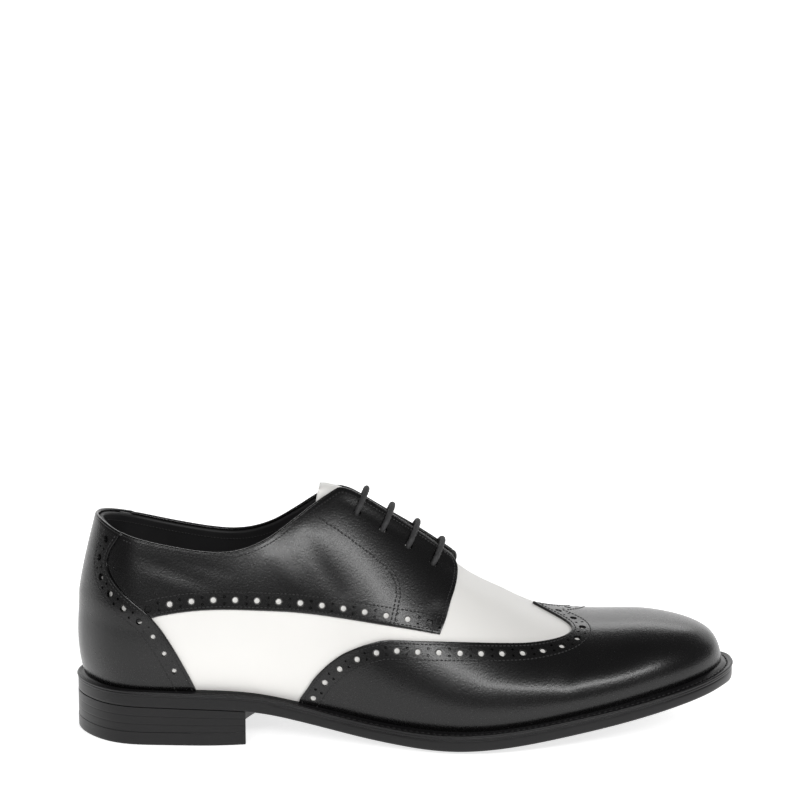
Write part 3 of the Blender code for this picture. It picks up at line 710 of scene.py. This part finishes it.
def beside(path, distance, inside):
    """The line beside a path on the last, distance millimetres to the side where the place inside lies."""
    points = [last_point(v, t) for v, t in path]
    moved = []
    middle = len(path) // 2
    sign = None
    for k in [middle] + list(range(len(path))):
        v, t = path[k]
        tangent = points[min(k + 1, len(points) - 1)] - points[max(k - 1, 0)]
        heading = last_normal(v, t).cross(tangent).normalized()
        if sign is None:
            sign = 1.0 if heading.dot(last_point(*inside) - points[k]) > 0 else -1.0
            continue
        spot = walk((v, t), heading * sign, distance)
        moved.append(spot)
    return [spot for spot in moved
            if min((last_point(*spot) - point).length for point in points) > distance * 0.965]


def even(path, pitch, start=0.0):
    """Places every pitch millimetres along a path on the last, each with its direction."""
    points = [last_point(v, t) for v, t in path]
    found, travelled, due = [], 0.0, start
    for k in range(len(path) - 1):
        length = (points[k + 1] - points[k]).length
        while length > 0 and due <= travelled + length:
            f = (due - travelled) / length
            (v0, t0), (v1, t1) = path[k], path[k + 1]
            found.append(((v0 + (v1 - v0) * f, t0 + (t1 - t0) * f), (points[k + 1] - points[k]).normalized()))
            due += pitch
        travelled += length
    return found


def brogue(path, pitch, start, lift):
    """Large holes along a path, with a pair of small blind ones across it between each two."""
    holes = []
    for k, (spot, tangent) in enumerate(even(path, pitch / 2, start)):
        normal = last_normal(*spot)
        middle = last_point(*spot) + normal * lift
        if k % 2 == 0:
            holes.append((middle, normal, HOLE_RADIUS, THROUGH))
        else:
            across = normal.cross(tangent).normalized()
            holes += [(middle + across * PIN_SPREAD * s, normal, PIN_RADIUS, PIN_DEPTH) for s in (-1, 1)]
    return holes


class Seams:
    """Stitches gathered into one mesh: each is a short thread that dips into the leather at both ends."""

    def __init__(self):
        self.places = []

    def stitch(self, middle, along, normal, length, half=THREAD):
        side = normal.cross(along).normalized()
        turn = Matrix((along.normalized(), side, normal)).transposed().to_4x4()
        size = Matrix.Diagonal((length * MM / 2, half * MM, half * MM * 0.9, 1.0))
        self.places.append(Matrix.Translation(middle * MM) @ turn @ size)

    def row(self, path, lift, pitch=STITCH_PITCH, half=THREAD):
        for spot, tangent in even(path, pitch, pitch / 2):
            normal = last_normal(*spot)
            rise = lift(*spot) if callable(lift) else lift
            self.stitch(last_point(*spot) + normal * rise, tangent, normal, pitch * 0.80, half)

    def run(self, places, pitch, share, half, outward):
        """Stitches along a line of points in space, each a share of the pitch long."""
        travelled = 0.0
        for before, after in zip(places, places[1:]):
            travelled += (after - before).length
            if travelled > pitch:
                travelled -= pitch
                self.stitch(after, (after - before).normalized(), outward, pitch * share, half)

    def finish(self, name, material, slot):
        bm = bmesh.new()
        bmesh.ops.create_uvsphere(bm, u_segments=6, v_segments=5, radius=1.0,
                                  matrix=Matrix.Rotation(pi / 2, 4, "Y"))
        corners = np.array([(*vert.co, 1.0) for vert in bm.verts])
        faces = [[vert.index for vert in face.verts] for face in bm.faces]
        bm.free()
        placed = np.concatenate([corners @ np.array(place).T for place in self.places])[:, :3]
        rings = [[i + k * len(corners) for i in face] for k in range(len(self.places)) for face in faces]
        mesh = bpy.data.meshes.new(name)
        mesh.from_pydata(placed.tolist(), [], rings)
        mesh.shade_smooth()
        mesh.materials.append(material)
        piece = bpy.data.objects.new(name, mesh)
        bpy.context.scene.collection.objects.link(piece)
        settle(piece, slot)


def pressed(v, t):
    """How deep the soft creases are at a place on the last."""
    point = last_point(v, t)
    depth = 0.0
    for side, (x0, z0), (x1, z1), half, deep in CREASES:
        if side * v < 0:
            continue
        reach = Vector((x1 - x0, z1 - z0))
        spot = Vector((point.x - x0, point.z - z0))
        share = spot.dot(reach) / reach.dot(reach)
        away = (spot - reach * min(max(share, 0.0), 1.0)).length / half
        if away < 3.0:
            depth += deep * exp(-away * away) * ease(1.0 - abs(share - 0.5) * 0.8)
    return depth


def cap_lift(v, t):
    return PANEL_LIFT - pressed(v, t)


def quarter_lift(v, t):
    """The quarter's outer face: skived thin under the counter, and standing up along the gap."""
    gap = ease(1 - (quarter_top(v) - t) / 0.10) * ease((abs(v) - v_at(COLLAR_END_X)) / 0.03)
    skived = SKIVED * ease((counter_half(t) + 0.002 - abs(v)) / 0.012)
    return PANEL_LIFT - skived + FACING_RISE * gap - pressed(v, t)


def counter_lift(v, t):
    """The counter's outer face: higher where it lies over the quarters."""
    return PANEL_LIFT + (COUNTER_LIFT - PANEL_LIFT) * ease((t - 0.40) / 0.12) - pressed(v, t)


# Soft creases of the leather, seen from the side: (side of the shoe, start (x, z), end (x, z), half width,
# depth in millimetres). A negative depth is a ridge.
CREASES = (
    (-1, (-118.0, 84.0), (-92.0, 74.0), 4.0, 0.22), (-1, (-112.0, 77.0), (-90.0, 68.0), 4.0, -0.12),
    (-1, (-103.0, 84.0), (-80.0, 78.0), 3.0, 0.10), (-1, (-46.0, 92.0), (-30.0, 68.0), 4.5, 0.40),
    (-1, (-60.0, 84.0), (-44.0, 66.0), 5.0, -0.30), (-1, (14.0, 62.0), (18.0, 57.0), 3.6, 0.45),
    (-1, (74.0, 38.0), (104.0, 39.5), 5.0, 0.50), (-1, (40.0, 30.0), (66.0, 29.0), 6.0, -0.35),
    (-1, (70.0, 30.0), (78.0, 40.0), 4.0, 0.30), (-1, (-36.0, 34.0), (-22.0, 42.0), 4.0, 0.25),
    (1, (-110.0, 80.0), (-92.0, 70.0), 2.6, 0.30), (1, (-48.0, 90.0), (-32.0, 66.0), 4.5, 0.35),
    (1, (-58.0, 82.0), (-42.0, 64.0), 5.0, -0.25), (1, (72.0, 38.0), (100.0, 39.5), 5.0, 0.40),
    (1, (38.0, 30.0), (62.0, 29.0), 6.0, -0.30), (1, (10.0, 60.0), (15.0, 56.0), 3.6, 0.35),
)


def build_upper():
    """The lined shell: white leather outside, black lining inside, open at the collar, throat and seat."""
    throat = v_at(THROAT_FRONT_X)

    @lru_cache(maxsize=None)
    def shell_top(v):
        if abs(v) > throat:
            return 1.0
        edge = quarter_top_line(v) - 0.006
        return min(edge, t_at_reach(v, THROAT_HALF)) if at_section("x", v) > COLLAR_END_X else edge

    def place(u, w):
        v, t = 2 * u - 1, shell_top(2 * u - 1) * w
        point = last_point(v, t)
        ahead = (VAMP_STEP_END_X - point.x) / VAMP_STEP_LENGTH
        sink = VAMP_STEP * ease(ahead) * ease((t - 0.72) / 0.2) if point.x > 0 else 0.0
        return point - last_normal(v, t) * sink if sink else point
    bm = laid_grid(320, 52, place)
    face_outward(bm, LAST_MIDDLE)
    piece = as_object("upper_shell", bm, [WHITE_LEATHER, LINING])
    wall = piece.modifiers.new("lining", "SOLIDIFY")
    wall.thickness = LINING_WALL * MM
    wall.offset = -1.0
    wall.material_offset = 1
    wall.material_offset_rim = 1
    settle(piece, "upper", "upper")


def wing_path(side):
    """The wingtip's edge on one side, from its tail to the peak."""
    return [(side * wing_edge(t), t) for t in ladder(0.03, 0.995, 200)]


def build_toe_cap():
    def place(u, w):
        t = 2 * u
        edge = wing_edge(min(t, 2 - t))
        return -(edge + (0.9996 - edge) * w**1.05), t
    holes = []
    for side in (-1, 1):
        path = beside(wing_path(side), HOLE_ROW, (side * 0.8, 0.5))
        path = [spot for spot in path if spot[1] < 0.995]
        holes += brogue(path, WING_HOLE_PITCH, 4.0, PANEL_LIFT)
    leather_panel("wingtip_cap", 150, 110, place, cap_lift, "toe_cap", holes)


def counter_path(side):
    """The counter's front edge on one side, from its foot to the topline."""
    path = [(side * counter_half(t), t) for t in ladder(0.03, 0.99, 120)]
    return [(v, t) for v, t in path if t < quarter_top(v) - 0.02]


def below_topline(spots, room):
    """The places that lie lower than the topline by at least room, as a share of the height."""
    return [(v, t) for v, t in spots if t < quarter_top(v) - room]


def build_counter():
    def place(u, w):
        top = quarter_top(0.0)
        t = 0.01 + (top - 0.01) * w
        v = (2 * u - 1) * counter_half(t)
        return v, min(t, quarter_top(v)) if w < 1 else quarter_top(v)
    holes = []
    for side in (-1, 1):
        path = below_topline(beside(counter_path(side), HOLE_ROW, (0.0, 0.5)), 0.03)
        holes += brogue(path, HOLE_PITCH, 14.15, COUNTER_LIFT)
    leather_panel("heel_counter_leather", 90, 60, place, counter_lift, "heel_counter", holes)


def foot_path(side):
    front = facing_front(0.484)
    return [(side * v, quarter_foot(side * v)) for v in ladder(counter_half(0.5), front, 160)]


def top_path(side):
    """The quarter's upper edge, from the counter over the corner and down the facing's gap and front."""
    start = counter_half(0.97) + 0.006
    corner = facing_front(0.90)
    path = [(side * v, quarter_top(side * v)) for v in ladder(start, corner, 260)]
    return path + [(side * facing_front(t), t) for t in ladder(0.895, 0.49, 60)]


def build_quarter(name, node, side):
    def place(u, w):
        t = 0.5 + 0.42 * w
        for _ in range(3):
            back = counter_half(t) - 0.030
            front = facing_front(t)
            v = side * (back + (front - back) * u)
            foot, top = quarter_foot(v), quarter_top(v)
            t = foot + (top - foot) * w
        return v, t

    path = beside(foot_path(side), HOLE_ROW - 0.5, (side * 0.35, 0.8))
    holes = brogue(path, FOOT_HOLE_PITCH, 0.6, PANEL_LIFT)
    large = [k for k, hole in enumerate(holes) if hole[2] == HOLE_RADIUS]
    for k in (large[0], large[-1]):
        holes[k] = holes[k][:3] + (PIN_DEPTH,)
    for x, reach in EYELETS:
        v = v_at(x, side)
        t = t_at_reach(v, reach)
        normal = last_normal(v, t)
        holes.append((last_point(v, t) + normal * quarter_lift(v, t), normal, EYELET_RADIUS, THROUGH))
    leather_panel(name, 110, 46, place, quarter_lift, node, holes)


def build_seams():
    seams = Seams()
    for side in (-1, 1):
        wing, counter, foot, top = wing_path(side), counter_path(side), foot_path(side), top_path(side)
        ahead, back, up = (side * 0.8, 0.5), (0.0, 0.5), (side * 0.35, 0.8)
        for distance in (EDGE_ROW, BAND_ROW):
            seams.row([spot for spot in beside(wing, distance, ahead) if spot[1] < 0.998], cap_lift)
            seams.row(below_topline(beside(counter, distance, back), 0.02), counter_lift)
        seams.row(beside(foot, EDGE_ROW, up), quarter_lift)
        seams.row(beside(foot, BAND_ROW - 0.4, up), quarter_lift)
        seams.row(beside(top, EDGE_ROW + 0.4, (side * 0.35, 0.6)), quarter_lift, TOP_PITCH)
        apron = facing_line(side)
        seams.row(apron, quarter_lift, APRON_PITCH, APRON_THREAD)
        lower = beside(apron[len(apron) // 2:], 1.7, (side * 0.6, 0.5))
        seams.row(lower, quarter_lift, APRON_PITCH, APRON_THREAD)
        front = [(side * facing_front(t), t) for t in ladder(0.475, 0.57, 24)]
        seams.row(beside(front, 3.8, (side * 0.35, 0.6)), quarter_lift)
        band = beside(foot, BAND_ROW + 1.2, up)
        seams.row([spot for spot in band if at_section("x", abs(spot[0])) > CORNER_ROW_X], quarter_lift)
    seams.finish("seam_threads", BLACK_THREAD, "toe_cap")


def build_welt_stitches():
    """The welt's stitches lie in its channel, from the heel's breast round the toe."""
    seams = Seams()
    places = []
    for v in ladder(0.26, 1.0, 900) + ladder(-1.0, -0.26, 900):
        seat, edge, out = edge_station(v)
        inwards = WELT_CHANNEL * ((edge - seat).length - WELT_INSET)
        places.append(edge - out * inwards + Vector((0, 0, WELT_STITCH_RISE)))
    seams.run(places, WELT_PITCH, 0.72, WELT_THREAD, Vector((0, 0, 1)))
    seams.finish("welt_stitches", BLACK_THREAD, "welt")


def build_tongue_hem():
    """One row of pale stitches inside the tongue's free edge."""
    seams = Seams()
    for u, side in ((0.06, -1.0), (0.94, 1.0)):
        outward = Vector((0.0, side, 0.8)).normalized()
        path = [tongue_place(u, w) + outward * 0.1 for w in ladder(0.03, 0.36, 60)]
        seams.run(path, TOP_PITCH, 0.7, 0.3, outward)
    seams.finish("tongue_hem", WHITE_THREAD, "tongue")


def build_lining_seam():
    """The lining is stitched to the quarters a little below the collar, and the stitches show inside."""
    seams = Seams()
    path = [(v, quarter_top(v)) for v in ladder(-0.40, 0.40, 400)]
    seams.row(beside(path, 4.0, (0.0, 0.5)), -LINING_WALL - 0.05, TOP_PITCH)
    seams.finish("lining_seam", BLACK_THREAD, "upper")


def build_collar_rim():
    """The collar's folded edge: a narrow rolled rim along the topline, from one facing round to the other."""
    bm = bmesh.new()
    reach = facing_front(0.90)
    path = []
    for v in ladder(-reach, reach, 420):
        t = quarter_top(v)
        lift = counter_lift(v, t) if abs(v) < counter_half(t) else quarter_lift(v, t)
        path.append(last_point(v, t) + last_normal(v, t) * (lift - RIM_HALF))
    tube(bm, path, lambda k, turn: RIM_HALF, Vector((0.0, 0.0, 1.0)), 10)
    closed_piece("collar_rim", bm, [BLACK_LEATHER], 60.0, "quarter_lateral")


# The line of stitches that sets off the eyelet facing: (t, x of the section), from the topline down.
APRON = ((0.84, -42.6), (0.811, -41.8), (0.723, -35.1), (0.679, -28.8), (0.654, -22.6),
         (0.642, -16.4), (0.629, -9.7), (0.61, -6.6), (0.585, -4.6), (0.547, -4.2), (0.503, -5.3),
         (0.459, -6.4), (0.435, -7.0))


def facing_line(side):
    path = []
    for (t0, x0), (t1, x1) in zip(APRON, APRON[1:]):
        path += [(v_at(x0 + (x1 - x0) * f / 6, side), t0 + (t1 - t0) * f / 6) for f in range(6)]
    return path


def tongue_lift(v, t):
    """Height of the tongue's outer face, as on its solid."""
    free = max(0.0, (v_at(TONGUE_FREE_X) - abs(v)) / (v_at(TONGUE_FREE_X) - v_at(TONGUE_TOP_X)))
    bare = min(1.0, max(0.0, (t - quarter_top(v) - 0.01) / 0.10))
    return -LINING_WALL - TONGUE_GAP + TONGUE_RISE * min(1.0, free)**1.5 * bare


def tongue_place(u, w):
    across = abs(2 * u - 1)
    end, front = v_at(TONGUE_TOP_X), v_at(TONGUE_FRONT_X)
    start = end - 0.035 * across**2
    v = start + (front - start) * w
    side = -1 if u < 0.5 else 1
    half = TONGUE_HALF * (1 - 0.25 * w) * across
    ridge = last_point(v, 1.0)
    t = t_at_reach(side * v, half)
    point = last_point(side * v, t) + last_normal(side * v, t) * tongue_lift(side * v, t)
    if t > 0.9999:
        far = abs(last_point(v, 1.0).y - at_section("y", v))
        share = half / max(far, 1e-6)
        level = ridge + last_normal(v, 1.0) * tongue_lift(v, 1.0)
        point = Vector((level.x, at_section("y", v) + side * far * min(share, 1.0), level.z))
    return point


def build_tongue():
    bm = laid_grid(44, 60, tongue_place)
    bmesh.ops.smooth_vert(bm, verts=[v for v in bm.verts if not v.is_boundary], factor=0.5,
                          use_axis_x=True, use_axis_y=True, use_axis_z=True)
    face_outward(bm, LAST_MIDDLE)
    thicken(bm, TONGUE_THICK - 0.2, 0.4)
    settle(as_object("tongue_leather", bm, [WHITE_LEATHER]), "tongue", "tongue")


def seat_outline(v, reach):
    """A plan point outside the seat line by reach, with the seat's height."""
    here = last_point(v, 0.0)
    if abs(v) > 0.9999:
        return Vector((here.x + reach, here.y, here.z))
    along = last_point(min(v + 0.0005, 1.0), 0.0) - last_point(max(v - 0.0005, -1.0), 0.0)
    out = Vector((along.y, -along.x, 0.0)).normalized()
    return here - out * reach


def sole_reach(v):
    x = last_point(v, 0.0).x
    outer = smooth_through([row[:2] for row in SOLE_REACH], x)
    inner = smooth_through([(row[0], row[2]) for row in SOLE_REACH], x)
    blend = min(1.0, max(0.0, 0.5 + 12.0 * v)) if abs(v) < 0.5 else (1.0 if v > 0 else 0.0)
    tip = max(0.0, (abs(v) - 0.9) / 0.1)
    return (outer + (inner - outer) * blend) * (1 - tip) + tip * SOLE_REACH[-1][1]


seat_heights = sorted((last_point(v, 0.0).x, last_point(v, 0.0).z) for v in ladder(0.001, 1.0, 60))


def outsole_under(x, share):
    edge = smooth_through(seat_heights, x) - OUTSOLE_THICK
    forepart = min(1.0, max(0.0, (x + 45.0) / 45.0)) * min(1.0, max(0.0, (140.0 - x) / 40.0))
    return max(0.0, edge - SOLE_CAMBER * forepart * share)


@lru_cache(maxsize=None)
def edge_station(v):
    """At v round the sole: the seat point, the sole's edge and the plan direction between them."""
    seat = last_point(v, 0.0)
    edge = seat_outline(v, sole_reach(v))
    return seat, edge, Vector((edge.x - seat.x, edge.y - seat.y, 0.0)).normalized()


def polyline(points, w):
    """The point at share w of a list of points."""
    place = min(max(w, 0.0), 1.0) * (len(points) - 1)
    i = min(int(place), len(points) - 2)
    f = place - i
    return tuple(a + (b - a) * f for a, b in zip(points[i], points[i + 1]))


# The welt's section: (reach inwards from the sole's edge, height above the seat), round from its inner foot.
# It is a strip with a stitch channel and a bead along its outer edge.
WELT_SECTION = ((-5.6, -0.05), (-0.06, -0.05), (0.04, 0.05), (0.08, 0.5), (0.06, 0.85), (-0.06, 1.05),
                (0.22, 1.3), (0.44, 1.65), (0.44, 2.0), (0.22, 2.3), (-0.20, 2.45), (-0.70, 2.35),
                (-1.35, 1.85), (-1.8, 1.9), (-2.3, 1.6), (-2.8, 1.6), (-3.3, 2.0), (-4.2, 2.3),
                (-5.0, 2.75), (-5.6, 2.9))


def build_welt():
    inner = WELT_SECTION[0][0]

    def place(u, w):
        v = 2 * u - 1
        seat, edge, out = edge_station(v)
        reach = (edge - seat).length
        in_by, rise = polyline(WELT_SECTION + (WELT_SECTION[0],), w)
        share = in_by / inner
        return edge + out * (share * -(reach - WELT_INSET) if in_by < 0 else in_by) + Vector((0, 0, rise))
    bm = laid_grid(420, len(WELT_SECTION), place)
    closed_piece("welt_strip", bm, [EDGE], 50.0, "welt", "welt")


def build_outsole():
    """Its edge is burnished, a little rounded below, and its tread is slightly domed across."""
    wall = ((-7.0, 1.0), (-0.05, 1.0), (0.03, 0.98), (0.08, 0.75), (0.10, 0.5), (0.05, 0.25), (-0.15, 0.08),
            (-0.6, 0.0))
    steps = len(wall) + 9

    def place(u, w):
        v = 2 * u - 1
        _, edge, out = edge_station(v)
        k = w * steps
        if k <= len(wall) - 1:
            in_by, share = polyline(wall, k / (len(wall) - 1))
            if in_by > -1.0 and edge.x < HEEL_BREAST[2]:
                in_by *= 0.1
            spot = edge + out * in_by
            low = outsole_under(edge.x, 0.0)
            return Vector((spot.x, spot.y, low + (edge.z - 0.1 - low) * share))
        rim = edge + out * wall[-1][0]
        _, far_edge, far_out = edge_station(-v)
        opposite = far_edge + far_out * wall[-1][0]
        share = 0.5 * (k - len(wall) + 1) / (steps - len(wall) + 1)
        spot = rim.lerp(opposite, share)
        dome = sin(min(1.0, share / 0.2) * pi / 2)
        return Vector((spot.x, spot.y, outsole_under(spot.x, dome)))
    bm = laid_grid(360, steps, place)
    closed_piece("outsole_leather", bm, [EDGE, TREAD], 60.0, "outsole", "outsole")


def heel_outline(u, flare):
    """A plan point of the heel, u from 0 to 1: from the outer breast corner round the back to the inner
    corner, then across the bowed breast."""
    outer_x, middle_x, inner_x = HEEL_BREAST
    round_share = 0.8
    if u <= round_share:
        v = -heel_end(-1) + (heel_end(1) + heel_end(-1)) * u / round_share
        return seat_outline(v, sole_reach(v) + flare)
    start = seat_outline(heel_end(1), sole_reach(heel_end(1)) + flare)
    end = seat_outline(-heel_end(-1), sole_reach(-heel_end(-1)) + flare)
    across = (u - round_share) / (1 - round_share)
    spot = start.lerp(end, across)
    spot.x += (middle_x - (outer_x + inner_x) / 2) * 4 * across * (1 - across)
    return spot


@lru_cache(maxsize=None)
def heel_end(side):
    """v of the breast's corner on one side."""
    breast = HEEL_BREAST[0] if side < 0 else HEEL_BREAST[2]
    return solve(lambda v: seat_outline(side * v, sole_reach(side * v)).x - breast, 0.05, 0.6)


def heel_block(name, node, low_of, high_of, flare, section, materials):
    """A slab of the heel whose side follows section: (outward, share of its height) pairs from its top in."""
    middle = Vector((-108.0, 0.0, 0.0))

    def place(u, w):
        spot = heel_outline(u, flare)
        out, share = polyline(section, w)
        inward = Vector((middle.x - spot.x, middle.y - spot.y, 0.0))
        if out <= -50:
            spot = Vector((spot.x + inward.x, spot.y + inward.y, 0.0))
        else:
            spot = spot - inward.normalized() * out
        low, high = low_of(spot.x), high_of(spot.x)
        return Vector((spot.x, spot.y, low + (high - low) * share))
    bm = laid_grid(200, len(section) - 1, place)
    closed_piece(name, bm, materials, 40.0, node, node)


def build_heel():
    lifts = 3
    side = [(-60.0, 1.0), (-0.06, 1.0), (0.0, 0.994), (0.0, 0.96)]
    for k in range(1, lifts):
        share = 1 - k / lifts
        side += [(0.0, share + 0.05), (0.0, share + 0.014), (-0.05, share + 0.004), (-0.05, share - 0.004),
                 (0.0, share - 0.014), (0.0, share - 0.05)]
    side += [(0.0, 0.04), (0.0, 0.006), (-0.06, 0.0), (-60.0, 0.0)]
    heel_block("stacked_heel", "heel_stack", lambda x: TOP_PIECE_THICK + 0.05,
               lambda x: outsole_under(x, 0.0) - 0.03, 0.06, side, [EDGE])
    rim = [(-60.0, 1.0), (-0.08, 1.0), (0.0, 0.985), (0.0, 0.92), (0.0, 0.5), (0.0, 0.20), (-0.04, 0.08),
           (-0.35, 0.0), (-60.0, 0.0)]
    heel_block("heel_top_rubber", "heel_top_piece", lambda x: 0.0, lambda x: TOP_PIECE_THICK, HEEL_FLARE, rim,
               [EDGE, RUBBER])


def build_insole():
    def place(u, w):
        v = 0.012 + 0.973 * u
        outer, inner = (seat_outline(side * v, -LINING_WALL - 0.4) for side in (-1, 1))
        spot = outer.lerp(inner, w)
        dish = 1.1 * sin(pi * w)**0.5 if 0 < w < 1 else 0.0
        return spot + Vector((0, 0, 3.2 - dish))
    bm = laid_grid(150, 26, place)
    face_outward(bm, Vector((0.0, 0.0, -0.5)))
    thicken(bm, 2.2, 0.0)
    settle(as_object("insole_sock", bm, [LINING]), "insole", "insole")


def build_lace():
    """Four straight bars of round braided lace, each dipping into its pair of eyelets."""
    half = LACE_THICK / 2
    around, along = 16, 110
    bm = bmesh.new()
    uv = bm.loops.layers.uv.new("braid")
    for x, reach in EYELETS:
        path = []
        for k in range(along + 1):
            across = -reach - LACE_HIDDEN + (2 * reach + 2 * LACE_HIDDEN) * k / along
            forward = LACE_BOW * cos(min(abs(across) / reach, 1.0) * pi / 2)
            v = v_at(x + forward, -1 if across < 0 else 1)
            t = t_at_reach(v, abs(across)) if abs(across) > 0.5 else 1.0
            dip = ease((abs(across) - reach + 1.9) / 2.4)
            rise = PANEL_LIFT + half + LACE_CLEAR - dip * LACE_DIP
            path.append(last_point(v, t) + last_normal(v, t) * rise)
        for _ in range(4):
            path = [path[0]] + [(path[k - 1] + path[k] * 2 + path[k + 1]) / 4
                                for k in range(1, len(path) - 1)] + [path[-1]]

        def braided(k, turn):
            wound = 1.9 * 2 * reach * k / along
            return half * (0.92 + 0.09 * (abs(sin(turn * 2 + wound)) + abs(sin(turn * 2 - wound))))
        tube(bm, path, braided, Vector((0.3, 0.0, 1.0)), around)
    for face in bm.faces:
        for loop in face.loops:
            loop[uv].uv = (loop.vert.co.y * 20, loop.vert.co.z * 20)
    closed_piece("lace_bars", bm, [LACE], 60.0, "lace", "lace")


build_upper()
build_toe_cap()
build_counter()
build_quarter("quarter_outer_leather", "quarter_lateral", -1)
build_quarter("quarter_inner_leather", "quarter_medial", 1)
build_tongue()
build_insole()
build_welt()
build_outsole()
build_heel()
build_lace()
build_seams()
build_welt_stitches()
build_tongue_hem()
build_lining_seam()
build_collar_rim()


def build_stage():
    """A white sweep, floor and backdrop in one, that glows with painted light fading to painted shade towards
    the camera, with a long strip light in front and a softbox behind.
    """
    bm = bmesh.new()
    bmesh.ops.create_grid(bm, x_segments=1, y_segments=40, size=3.0)
    for vert in bm.verts:
        travelled = vert.co.y - SWEEP_START
        if travelled > 0:
            turn = min(travelled / SWEEP_RADIUS, pi / 2)
            beyond = max(0.0, travelled - SWEEP_RADIUS * pi / 2)
            vert.co.y = SWEEP_START + SWEEP_RADIUS * sin(turn)
            vert.co.z = SWEEP_RADIUS * (1 - cos(turn)) + beyond
    finish = Finish("studio_floor", (0.80, 0.80, 0.80), 0.7, emission_strength=FLOOR_PAINTED_LIGHT)
    # Painted light: the floor's emission is full away from the camera and fades towards it, in place of real
    # falloff of the studio light.
    _, depth, _ = finish.split(finish.place())
    lit = (depth * FLOOR_PAINTED_FADE[0] + FLOOR_PAINTED_FADE[1]).clamp(0.0, 1.0)
    painted_floor_light = finish.mix(lit, (FLOOR_PAINTED_SHADE, FLOOR_PAINTED_SHADE, FLOOR_PAINTED_SHADE), (1.0, 1.0, 1.0))
    finish.feed(finish.shader.inputs["Emission Color"], painted_floor_light)
    floor = as_object("studio_floor", bm, [finish.material])
    world = bpy.data.worlds.new("studio")
    bpy.context.scene.world = world
    world.use_nodes = True
    world.node_tree.nodes["Background"].inputs["Color"].default_value = (1.0, 1.0, 1.0, 1.0)
    world.node_tree.nodes["Background"].inputs["Strength"].default_value = ROOM_LIGHT
    for name, (place, target, size, power) in SOFTBOXES.items():
        light = bpy.data.lights.new(name, "AREA")
        light.shape = "RECTANGLE"
        light.size, light.size_y = size
        light.energy = power
        lamp = bpy.data.objects.new(name, light)
        lamp.location = place
        lamp.rotation_euler = (Vector(target) - Vector(place)).to_track_quat("-Z", "Y").to_euler()
        bpy.context.scene.collection.objects.link(lamp)


# The photograph's camera: a long lens a little above the shoe, looking square at its outer side.
CAMERA_PLACE = (-0.0026, -1.0619, 0.3495)
CAMERA_TILT = 79.5
CAMERA_LENS = 106.65


def build_camera():
    data = bpy.data.cameras.new("photo_camera")
    data.lens = CAMERA_LENS
    data.sensor_width = 36.0
    data.clip_start = 0.01
    camera = bpy.data.objects.new("photo_camera", data)
    camera.location = CAMERA_PLACE
    camera.rotation_euler = (radians(CAMERA_TILT), 0.0, 0.0)
    bpy.context.scene.collection.objects.link(camera)
    bpy.context.scene.camera = camera


build_stage()
build_camera()
bpy.context.scene.view_settings.view_transform = "Standard"
